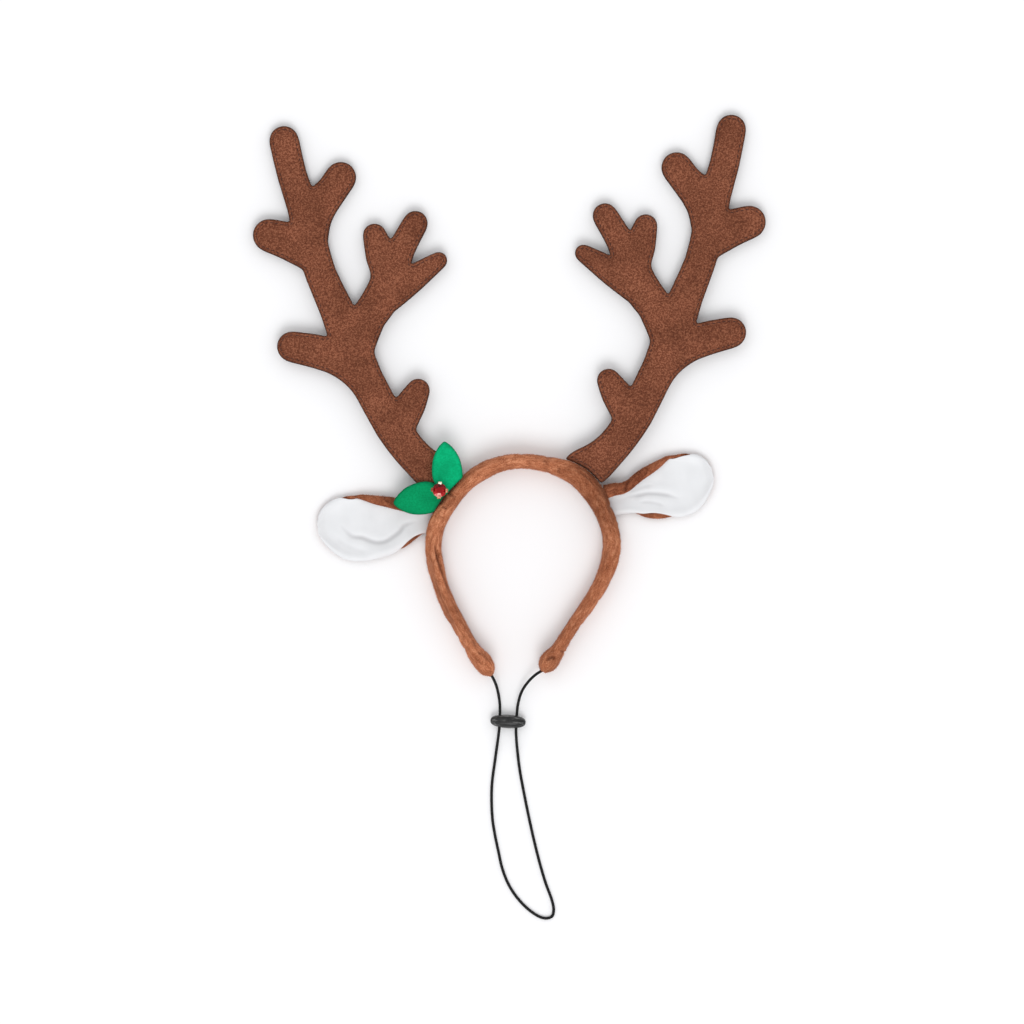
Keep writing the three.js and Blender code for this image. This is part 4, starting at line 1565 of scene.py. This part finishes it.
@dataclass
class Ear:
    """A plush ear, folded over along its upper side, with a satin lining."""

    side: str
    mirror: int
    length: float
    width: float
    turn: float
    sliver_middle: float
    sliver_reach: float
    sliver: float
    rows: tuple
    creases: tuple
    pinch: tuple
    plush: float = 1.3
    lining: float = 1.0
    clearance: float = 0.3
    rim_rise: float = 1.7
    fold_rise: float = 5.6
    rim_curve: float = 4.4
    rim_foot: float = 0.2
    full_width: float = 0.62
    fold_fade: float = 0.33
    rings: int = 72
    columns: int = 44
    flap_trim: float = 0.0
    rim_tuck: float = 0.06
    lining_lap: float = 0.02
    lining_bind: float = 0.09
    lining_half: float = 0.35
    bound_from: float = 0.78
    bound_to: float = 0.9
    plush_reach: float = 0.975
    band_gap: float = 0.1
    flat_width: float = 1.35
    flat_length: float = 1.02

    # The upper side as an open rim and as a fold: open in, open up, fold in, fold back, fold up
    upper_side = (
        (1.0, 0.12, 1.0, 0.0, 0.12),
        (0.62, 0.33, 0.0, 0.0, 0.5),
        (0.3, 0.65, 0.0, 0.35, 0.9),
        (0.0, 1.0, 0.0, 1.0, 1.0),
    )

    def axes(self) -> tuple[Array, Array]:
        """Works out the ear's directions, seen from above.

        Returns:
            The way that the ear points, and the way across it towards its upper side.
        """
        angle = math.radians(self.mirror * self.turn)
        ahead = self.mirror * np.array([math.cos(angle), math.sin(angle)])
        return ahead, self.mirror * np.array([-ahead[1], ahead[0]])

    def section(self, share: float) -> tuple[Array, Array, float, float]:
        """Works out the middle of the plush across the ear.

        Args:
            share: the share of the way along the table of rows.

        Returns:
            The points across and up, their shares of the way across, the place along, and the share across
            at which the upper side turns back.
        """
        along, low, high, edge = self.table[int(round(share * (len(self.table) - 1)))]
        edge = min(edge + self.flap_trim * max(1 - along / 0.3, 0), high)
        low, high, edge = low * self.width, high * self.width, edge * self.width
        reach = max(high - edge, 0)
        fold = min(reach / ((self.rows[0][2] - self.rows[0][3]) * self.width), 1)
        is_open = 1 - min(fold / self.fold_fade, 1)
        narrow = min((high - low) / (self.full_width * self.width), 1)
        curve, rim = self.rim_curve * narrow, self.rim_rise * narrow**2
        top = rim + (self.fold_rise - rim) * fold
        belly = self.rim_rise - rim + self.plush / 2
        middle = [(low, rim), (low + curve, self.rim_foot * rim), ((low + high) / 2, 0)]
        for open_in, open_up, fold_in, fold_back, fold_up in self.upper_side:
            inward = fold_in + (open_in - fold_in) * is_open
            rise = fold_up + (open_up - fold_up) * is_open
            middle.append((high - inward * curve - fold_back * reach, rise * top))
        line = spline(np.array(middle)) + [0, belly]
        at = lengths(line, 2)
        at /= at[-1]
        return line, at, along * self.length, float(at[np.argmax(line[:, 0])])

    def grids(
        self, layer: Callable[[float, float], tuple[Array, ...]], reach: float = 1.0
    ) -> tuple[Array, Array]:
        """Works out the two sides of one layer of the ear.

        Args:
            layer: gives the layer's shares across and how far its two sides are from the middle of the plush,
                from the share along the ear and the share across at which its upper side turns back.
            reach: the share of the table of rows that it reaches.

        Returns:
            The outer and the inner grid.
        """
        ahead, aside = self.axes()
        outer, inner = [], []
        for ring in range(self.rings):
            share = reach * ring / (self.rings - 1)
            line, at, along, turn = self.section(share)
            across, low, high = layer(along / self.length, turn)
            points = np.column_stack([np.interp(across, at, column) for column in line.T])
            slope = np.gradient(points, axis=0)
            slope /= np.linalg.norm(slope, axis=1)[:, None]
            inward = np.column_stack([-slope[:, 1], slope[:, 0]])
            for rows, far in ((outer, low), (inner, high)):
                placed = points + inward * far[:, None]
                flat = self.base + along * ahead + placed[:, :1] * aside
                rows.append(np.column_stack([flat, placed[:, 1]]))
        return np.array(outer), np.array(inner)

    def bare(self, along: float) -> float:
        """Returns how much of the lower side's plush the lining leaves bare, from 0 to 1."""
        near = np.clip((along - self.sliver_middle) / self.sliver_reach, -1, 1)
        return math.cos(near * math.pi / 2) ** 2

    def bound(self, along: float) -> float:
        """Returns how far the lining is wrapped round the upper rim, from 0 to 1."""
        near = np.clip((along - self.bound_from) / (self.bound_to - self.bound_from), 0, 1)
        return near * near * (3 - 2 * near)

    def plush_layer(self, along: float, turn: float) -> tuple[Array, Array, Array]:
        """Gives the plush shell's shares across and the places of its two sides."""
        first = self.rim_tuck * (1 - self.bare(along))
        across = np.linspace(first, 1 - self.rim_tuck * self.bound(along), self.columns)
        half = self.plush / 2 * round_edges(across)
        return across, -half, half

    def satin_layer(self, along: float, turn: float) -> tuple[Array, Array, Array]:
        """Gives the lining's shares across and the places of its two sides."""
        bare, bound = self.bare(along), self.bound(along)
        under_fold = turn - self.lining_lap
        across = np.linspace(self.sliver * bare, under_fold + (1 - under_fold) * bound, self.columns)
        low_rim = np.clip(1 - (across - across[0]) / self.lining_bind, 0, 1) ** 2 * (1 - bare)
        high_rim = np.clip(1 - (across[-1] - across) / self.lining_bind, 0, 1) ** 2 * bound
        middle = (self.plush / 2 + self.clearance) * (1 - low_rim) * (1 - high_rim)
        half = self.lining_half * self.lining * round_edges(across)
        return across, middle - half, middle + half

    def build(self, band: BVHTree, pile: Repeater) -> None:
        """Makes the plush shell and the lining.

        Args:
            band: the band's search tree.
            pile: the tree that stands hairs on plush.
        """
        low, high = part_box(f"ear_{self.side}_shell")
        table = spline(np.array(self.rows), 24)
        sizes = [self.length, self.width, self.width, self.width]
        self.table = evenly(table * sizes, self.rings, 2) / sizes
        self.base = self.find_base(low, high)
        plush = self.grids(self.plush_layer, self.plush_reach)
        shell = wall(f"ear_{self.side}_plush", *plush, Finishes.SHADED_EAR_PLUSH)
        satin = wall(f"ear_{self.side}_satin", *self.grids(self.satin_layer), Finishes.SATIN)
        self.crease(satin, self.creases)
        self.crease(shell, self.pinch)
        for piece, slot, node in (
            (shell, "band_plush", f"ear_{self.side}_shell"),
            (satin, "ear_satin", f"ear_{self.side}_lining"),
        ):
            self.keep_off(piece, band)
            subdivided(piece)
            hand_over(piece, slot, node)
        grow_pile(shell, pile)

    def find_base(self, low: Vector, high: Vector) -> Array:
        """Works out where the ear leaves the band, from the box of its node.

        Args:
            low: the node's lowest corner.
            high: its highest corner.

        Returns:
            The base point from above, in millimetres.
        """
        self.base = np.zeros(2)
        across = np.linspace(0, 1, self.columns)
        half = np.full(self.columns, self.plush / 2)
        points = np.concatenate(self.grids(lambda along, turn: (across, -half, half))).reshape(-1, 3)
        tip = points[:, 0].max() if self.mirror > 0 else points[:, 0].min()
        wanted = (high.x if self.mirror > 0 else low.x) / MM
        return np.array([wanted - tip, low.y / MM - points[:, 1].min()])

    def crease(self, cloth: bpy.types.Object, creases: tuple) -> None:
        """Presses fold lines into cloth, with a soft swell on both sides of each and painted shade along each
        line.

        Args:
            cloth: the shell or the lining.
            creases: each one's points, as shares along and across, its depth, half width and ridge.
        """
        points, normals = points_of(cloth), normals_of(cloth)
        ahead, aside = self.axes()
        upper = np.clip(normals[:, 2] * 3, 0, 1)
        start = points.copy()
        crease_shade = np.zeros(len(points))
        for rows, depth, wide, ridge in creases:
            rows = np.array(rows)
            line = self.base + rows[:, :1] * self.length * ahead + rows[:, 1:] * self.width * aside
            off, share = off_line(start, spline(line))
            off *= self.mirror
            ends = np.clip(4 * np.minimum(share, 1 - share), 0, 1)
            groove = depth * np.exp(-((off / wide) ** 2))
            crease_shade = np.maximum(crease_shade, groove * ends * upper)
            above = ridge * np.exp(-(((off - 3.2 * wide) / (2.4 * wide)) ** 2))
            below = 0.5 * ridge * np.exp(-(((off + 2.8 * wide) / (2 * wide)) ** 2))
            points[:, 2] += (above + below - groove) * ends * upper
        set_points(cloth, points)
        # Painted shade along the folds, which the satin greys and the plush darkens
        store(cloth, "crease_painted_shade", crease_shade)

    def keep_off(self, piece: bpy.types.Object, band: BVHTree) -> None:
        """Moves the points of a piece that would lie inside the band out to its surface."""
        points = points_of(piece)
        for i, point in enumerate(points):
            place, normal = band.find_nearest(Vector(point))[:2]
            if (Vector(point) - place).dot(normal) < self.band_gap:
                points[i] = place + normal * self.band_gap
        points[:, 2] = np.maximum(points[:, 2], LOWEST)
        set_points(piece, points)


# Holly


@dataclass
class Holly:
    """Two felt leaves with a red cut stone in a claw setting. Its turns are in degrees from +X."""

    stone_sides: int = 16
    stone_turn: float = -4.0
    stone_growth: float = 0.15
    window: float = -100.0
    bright_claw: float = 86.0
    upper_turn: float = 95.5
    lower_turn: float = 190.0
    girdle: float = 0.12
    bevel: float = 0.08

    # A leaf's crease: how far it reaches back and ahead of the middle, its depth and half width
    crease_reach: tuple[float, float] = (9.0, 10.0)
    crease_depth: float = 0.45
    crease_width: float = 1.3

    # The stone's rings of corners as shares of its radius, and heights as shares of its height and crown
    table_radius: float = 0.46
    star_radius: float = 0.76
    culet_radius: float = 0.34
    girdle_height: float = 0.54
    star_height: float = 0.56

    # How much light the stone throws back: at its table, any facet, one towards the window and one away
    table_glint: float = 0.24
    facet_glint: float = 0.3
    window_glint: float = 0.75
    shaded_glint: float = 0.2
    sparkle: float = 0.14

    def leaf(self, name: str, finish: Finishes, turn: float) -> None:
        """Makes one leaf with a crease along its middle.

        Args:
            name: upper or lower.
            finish: its finish.
            turn: the way it points.
        """
        node = f"holly_leaf_{name}"
        low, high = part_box(node)
        middle = np.array([(low.x + high.x) / 2, (low.y + high.y) / 2]) / MM
        way = np.array([math.cos(math.radians(turn)), math.sin(math.radians(turn))])
        back, ahead = self.crease_reach
        line = np.array([middle - back * way, middle + ahead * way])
        leaf = FeltPiece(
            f"{node}_felt",
            node,
            finish,
            "leaf_felt",
            spacing=0.8,
            edge_round=0.25,
            smoothing=0.35,
            crease=(line, self.crease_depth, self.crease_width),
        )
        leaf.build()

    def stone(self) -> bpy.types.Object:
        """Makes the stone: table, star and kite facets, girdle and pavilion.

        Returns:
            The stone.
        """
        low, high = (np.array(corner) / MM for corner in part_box("holly_stone"))
        centre, radius = (low + high) / 2, (high[0] - low[0]) / 2 + self.stone_growth
        girdle, top, bottom = low[2] + self.girdle_height * (high[2] - low[2]), high[2], low[2]
        half = self.stone_sides // 2
        turn = math.radians(self.stone_turn)

        def ring(count: int, far: float, height: float, shift: float) -> list[tuple[float, float, float]]:
            """Returns points round the stone's axis."""
            angles = [(i + shift) / count * 2 * math.pi + turn for i in range(count)]
            return [(centre[0] + far * math.cos(a), centre[1] + far * math.sin(a), height) for a in angles]

        mesh = bmesh.new()
        for point in (
            *ring(half, self.table_radius * radius, top, 0.5),
            *ring(half, self.star_radius * radius, girdle + self.star_height * (top - girdle), 0.0),
            *ring(self.stone_sides, radius, girdle + self.girdle, 0.0),
            *ring(self.stone_sides, radius, girdle - self.girdle, 0.0),
            *ring(half, self.culet_radius * radius, bottom, 0.0),
        ):
            mesh.verts.new(Vector(point) * MM)
        hull = bmesh.ops.convex_hull(mesh, input=mesh.verts)
        bmesh.ops.delete(mesh, geom=list({*hull["geom_unused"], *hull["geom_interior"]}), context="VERTS")
        bmesh.ops.dissolve_limit(mesh, angle_limit=math.radians(1), verts=mesh.verts, edges=mesh.edges)
        bmesh.ops.recalc_face_normals(mesh, faces=mesh.faces)
        stone = hardened("cut_stone", mesh, Finishes.STONE)
        glints = [self.glint(face.normal, face.index) for face in stone.data.polygons]
        store(stone, "glint", glints, "FACE")
        return stone

    def glint(self, normal: Vector, number: int) -> float:
        """Works out how much light a facet throws back to the camera.

        Args:
            normal: the way the facet faces.
            number: its number, which sets it off from its neighbours.

        Returns:
            A number from 0 to 1, most for a facet that faces the window.
        """
        if normal.z > 0.98:
            return self.table_glint
        towards = math.cos(math.atan2(normal.y, normal.x) - math.radians(self.window))
        sparkle = self.sparkle * math.sin(2.4 * number)
        lit = self.facet_glint + self.window_glint * max(towards, 0) ** 5
        return lit - self.shaded_glint * max(-towards, 0) + sparkle

    def setting(self) -> bpy.types.Object:
        """Makes the claw setting from its node, with its edges rounded.

        Returns:
            The setting.
        """
        mesh = bmesh.new()
        mesh.from_mesh(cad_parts["holly_setting"].data)
        bmesh.ops.remove_doubles(mesh, verts=mesh.verts, dist=WELD)
        bmesh.ops.dissolve_limit(mesh, angle_limit=math.radians(2), verts=mesh.verts, edges=mesh.edges)
        setting = hardened("claw_setting", mesh, Finishes.GOLD)
        bevel = setting.modifiers.new("Bevel", "BEVEL")
        bevel.width = self.bevel * MM
        bevel.segments = 2
        bevel.limit_method = "ANGLE"
        finished(setting)
        setting.data.shade_smooth()
        middle = sum(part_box("holly_setting"), Vector()) / 2
        places = [face.center - middle for face in setting.data.polygons]
        store(setting, "glint", [self.claw_glint(place) for place in places], "FACE")
        return setting

    def claw_glint(self, place: Vector) -> float:
        """Works out how bright the metal is at a place.

        Args:
            place: the place, from the middle of the setting.

        Returns:
            A number from 0 to 1: most at the claw that faces the window, least where it mirrors the stone.
        """
        towards = math.cos(math.atan2(place.y, place.x) - math.radians(self.bright_claw))
        aside = math.cos(math.atan2(place.y, place.x))
        return 0.12 + 0.88 * max(towards, 0) ** 3 + 0.42 * max(-towards, 0) ** 3 + 0.36 * max(aside, 0) ** 3

    def build(self) -> None:
        """Makes the whole sprig."""
        self.leaf("lower", Finishes.LOWER_LEAF, self.lower_turn)
        self.leaf("upper", Finishes.UPPER_LEAF, self.upper_turn)
        hand_over(self.setting(), "setting_metal", "holly_setting")
        hand_over(self.stone(), "red_stone", "holly_stone")


# Chin cord


@dataclass
class ChinCord:
    """The elastic loop and the bead that slides on it."""

    diameter: float = 1.1
    sides: int = 14
    rings: int = 420
    bead_length: float = 13.7
    bead_diameter: float = 5.2
    bead_roundness: float = 0.72
    hole_spacing: float = 6.45
    hole_radius: float = 0.85
    hole_sides: int = 24
    hole_reach: float = 0.7
    bead_rings: int = 56
    bead_sides: int = 56
    parting_rise: float = 0.012
    parting_width: float = 0.09
    bead_middle: tuple[float, float] = (-5.6, -101.0)
    bead_turn: float = -3.4

    # The mouth of a hole: how far from the bead's middle in millimetres, and how wide as a share of the hole
    mouth = ((-1.9, 1.0), (-1.5, 1.0), (1.5, 1.0), (1.9, 1.0))

    # The cord's route in metres: from the band's left end, through the bead, round the loop and back
    route = (
        (-0.0135, -0.0810, 0.0056),
        (-0.0117, -0.0836, 0.0051),
        (-0.0103, -0.0866, 0.0039),
        (-0.0094, -0.0900, 0.0029),
        (-0.0088, -0.0942, 0.0026),
        (-0.00875, -0.0982, 0.0026),
        (-0.0090, -0.1036, 0.0026),
        (-0.0094, -0.1072, 0.0021),
        (-0.0100, -0.1114, 0.0011),
        (-0.0107, -0.1165, 0.0006),
        (-0.0118, -0.1249, 0.0006),
        (-0.0120, -0.1315, 0.0006),
        (-0.0116, -0.1393, 0.0006),
        (-0.0106, -0.1455, 0.0006),
        (-0.0093, -0.1517, 0.0006),
        (-0.0079, -0.1579, 0.0006),
        (-0.0055, -0.1641, 0.0006),
        (-0.0021, -0.1694, 0.0006),
        (0.0019, -0.1736, 0.0006),
        (0.0062, -0.1766, 0.0006),
        (0.0090, -0.1774, 0.0006),
        (0.0114, -0.1767, 0.0006),
        (0.0121, -0.1742, 0.0006),
        (0.0114, -0.1704, 0.0006),
        (0.0091, -0.1641, 0.0006),
        (0.0072, -0.1579, 0.0006),
        (0.0048, -0.1486, 0.0006),
        (0.0027, -0.1393, 0.0006),
        (0.0008, -0.1300, 0.0006),
        (-0.0010, -0.1203, 0.0006),
        (-0.0019, -0.1132, 0.0009),
        (-0.0024, -0.1074, 0.0021),
        (-0.0025, -0.1036, 0.0026),
        (-0.0022, -0.0982, 0.0026),
        (-0.0017, -0.0940, 0.0027),
        (-0.0003, -0.0894, 0.0032),
        (0.0022, -0.0856, 0.0042),
        (0.0053, -0.0826, 0.0052),
        (0.0087, -0.0806, 0.0056),
    )

    def cord(self) -> tuple[bpy.types.Object, Array]:
        """Makes the cord as a tube.

        Returns:
            The cord and the points that it follows, in millimetres.
        """
        line = evenly(spline(np.array(self.route) / MM), self.rings, 3)
        ahead = np.gradient(line, axis=0)
        ahead /= np.linalg.norm(ahead, axis=1)[:, None]
        aside = np.cross(ahead, [0, 0, 1])
        aside /= np.linalg.norm(aside, axis=1)[:, None]
        over = np.cross(aside, ahead)
        angle = np.arange(self.sides) / self.sides * 2 * np.pi
        radius = self.diameter / 2
        rings = line[:, None] + radius * (
            np.cos(angle)[None, :, None] * aside[:, None] + np.sin(angle)[None, :, None] * over[:, None]
        )
        return tube("elastic_cord", rings, line[[0, -1]], Finishes.ELASTIC), line

    def bead(self) -> bpy.types.Object:
        """Makes the moulded bead with its parting line and its two holes.

        Returns:
            The bead.
        """
        angle = (np.arange(self.bead_rings) + 0.5) / self.bead_rings * np.pi
        radius = self.bead_diameter / 2 * np.sin(angle) ** self.bead_roundness
        along = -self.bead_length / 2 * np.cos(angle)
        around = np.arange(self.bead_sides) / self.bead_sides * 2 * np.pi
        parting = 1 + self.parting_rise * np.exp(-((np.sin(around) / self.parting_width) ** 2))
        points = np.stack(
            [
                np.repeat(along[:, None], self.bead_sides, axis=1),
                radius[:, None] * (np.cos(around) * parting)[None, :],
                radius[:, None] * np.sin(around)[None, :],
            ],
            axis=2,
        )
        ends = np.array([[-self.bead_length / 2, 0, 0], [self.bead_length / 2, 0, 0]])
        bead = tube("slider_bead", self.placed(points), self.placed(ends), Finishes.SLIDER)
        cutters = [self.hole(way) for way in (-1, 1)]
        for cutter in cutters:
            cut = bead.modifiers.new("Hole", "BOOLEAN")
            cut.object = cutter
            cut.operation = "DIFFERENCE"
            cut.solver = "EXACT"
        finished(bead)
        for cutter in cutters:
            bpy.data.objects.remove(cutter)
        bead.data.shade_smooth()
        bead.data.set_sharp_from_angle(angle=math.radians(35))
        return bead

    def placed(self, points: Array) -> Array:
        """Moves points from the bead's own place and direction to where it lies on the cord."""
        turn = math.radians(self.bead_turn)
        spin = np.array(
            [[math.cos(turn), math.sin(turn), 0], [-math.sin(turn), math.cos(turn), 0], [0, 0, 1]]
        )
        return points @ spin + np.array([*self.bead_middle, self.bead_diameter / 2])

    def hole(self, way: int) -> bpy.types.Object:
        """Makes the shape that one hole is cut with, wider towards both its ends.

        Args:
            way: -1 for the hole on the left, 1 for the one on the right.

        Returns:
            The shape.
        """
        middle = np.array([way * self.hole_spacing / 2, 0, 0])
        reach = self.bead_diameter * self.hole_reach
        circle = np.arange(self.hole_sides) / self.hole_sides * 2 * np.pi
        rings = [
            [(far * self.hole_radius * math.cos(a), y, far * self.hole_radius * math.sin(a)) for a in circle]
            for y, far in ((-reach, 1.5), *self.mouth, (reach, 1.5))
        ]
        poles = np.array([[0, -reach, 0], [0, reach, 0]])
        rings, poles = self.placed(np.array(rings) + middle), self.placed(poles + middle)
        return tube("hole", rings, poles, Finishes.SLIDER)

    def build(self) -> None:
        cord, line = self.cord()
        bead = self.bead()
        hand_over(cord, "elastic", "chin_cord")
        hand_over(bead, "slider_plastic", "cord_slider")


# Tables of the pairs


# The corner of an antler's root that is cut off under the upper leaf: its middle and radius
ANTLERS = (Antler("left", cut=((-21.9, -3.6), 3.2)), Antler("right"))

EARS = (
    Ear(
        side="left",
        mirror=-1,
        length=44.1,
        width=25.2,
        turn=-5,
        sliver_middle=0.18,
        sliver_reach=0.2,
        sliver=0.06,
        rows=(
            (-0.03, -0.23, 0.23, 0.03),
            (0.07, -0.232, 0.23, 0.045),
            (0.14, -0.285, 0.23, 0.065),
            (0.21, -0.365, 0.28, 0.115),
            (0.28, -0.445, 0.345, 0.175),
            (0.37, -0.495, 0.383, 0.235),
            (0.47, -0.530, 0.413, 0.292),
            (0.56, -0.552, 0.440, 0.362),
            (0.65, -0.553, 0.472, 0.432),
            (0.75, -0.525, 0.478, 0.462),
            (0.86, -0.405, 0.410, 0.410),
            (0.92, -0.295, 0.343, 0.343),
            (0.97, -0.180, 0.240, 0.240),
            (0.995, -0.075, 0.110, 0.110),
        ),
        flap_trim=0.07,
        bound_from=0.7,
        bound_to=0.82,
        creases=(
            (
                (
                    (0.81, 0.08),
                    (0.76, -0.05),
                    (0.70, -0.16),
                    (0.61, -0.20),
                    (0.54, -0.26),
                    (0.48, -0.29),
                    (0.41, -0.28),
                    (0.34, -0.22),
                    (0.28, -0.15),
                    (0.23, -0.06),
                    (0.17, -0.03),
                    (0.10, -0.01),
                ),
                0.4,
                0.9,
                0.45,
            ),
            (((0.86, -0.1), (0.78, -0.27), (0.66, -0.38), (0.52, -0.44)), 0.12, 1.2, 0.2),
        ),
        pinch=(),
    ),
    Ear(
        side="right",
        mirror=1,
        length=41.6,
        width=23.8,
        turn=14,
        sliver_middle=0.37,
        sliver_reach=0.28,
        sliver=0.085,
        rows=(
            (-0.03, -0.27, 0.23, 0.03),
            (0.07, -0.27, 0.23, 0.045),
            (0.14, -0.29, 0.205, 0.04),
            (0.21, -0.34, 0.225, 0.07),
            (0.28, -0.42, 0.29, 0.13),
            (0.37, -0.475, 0.35, 0.20),
            (0.47, -0.523, 0.395, 0.265),
            (0.56, -0.550, 0.428, 0.34),
            (0.65, -0.553, 0.472, 0.428),
            (0.75, -0.525, 0.460, 0.446),
            (0.86, -0.405, 0.408, 0.408),
            (0.92, -0.295, 0.343, 0.343),
            (0.97, -0.180, 0.242, 0.242),
            (0.995, -0.075, 0.110, 0.110),
        ),
        creases=(
            (
                (
                    (0.10, -0.01),
                    (0.22, -0.03),
                    (0.29, -0.04),
                    (0.35, -0.045),
                    (0.43, -0.08),
                    (0.52, -0.14),
                    (0.58, -0.20),
                    (0.66, -0.29),
                ),
                0.35,
                0.8,
                0.4,
            ),
            (((0.16, 0.05), (0.26, 0.06), (0.36, 0.07), (0.46, 0.04)), 0.18, 0.9, 0.15),
            (((0.24, -0.15), (0.34, -0.18), (0.43, -0.25), (0.5, -0.34)), 0.2, 0.8, 0.2),
        ),
        pinch=((((0.15, 0.02), (0.17, 0.12), (0.2, 0.2), (0.24, 0.34)), 0.9, 0.5, 0.3),),
    ),
)


def main() -> None:
    """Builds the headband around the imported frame."""
    logging.basicConfig(level=logging.INFO, format="%(name)s: %(message)s")
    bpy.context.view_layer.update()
    studio = Studio()
    studio.camera()
    ChinCord().build()
    pile = pile_repeater()
    band = Band().build(pile)
    around = tree_of(band)
    stitches = stitch_repeater()
    for antler in ANTLERS:
        antler.build(around, stitches)
    for ear in EARS:
        ear.build(around, pile)
    Holly().build()
    studio.build()


if __name__ == "__main__":
    main()
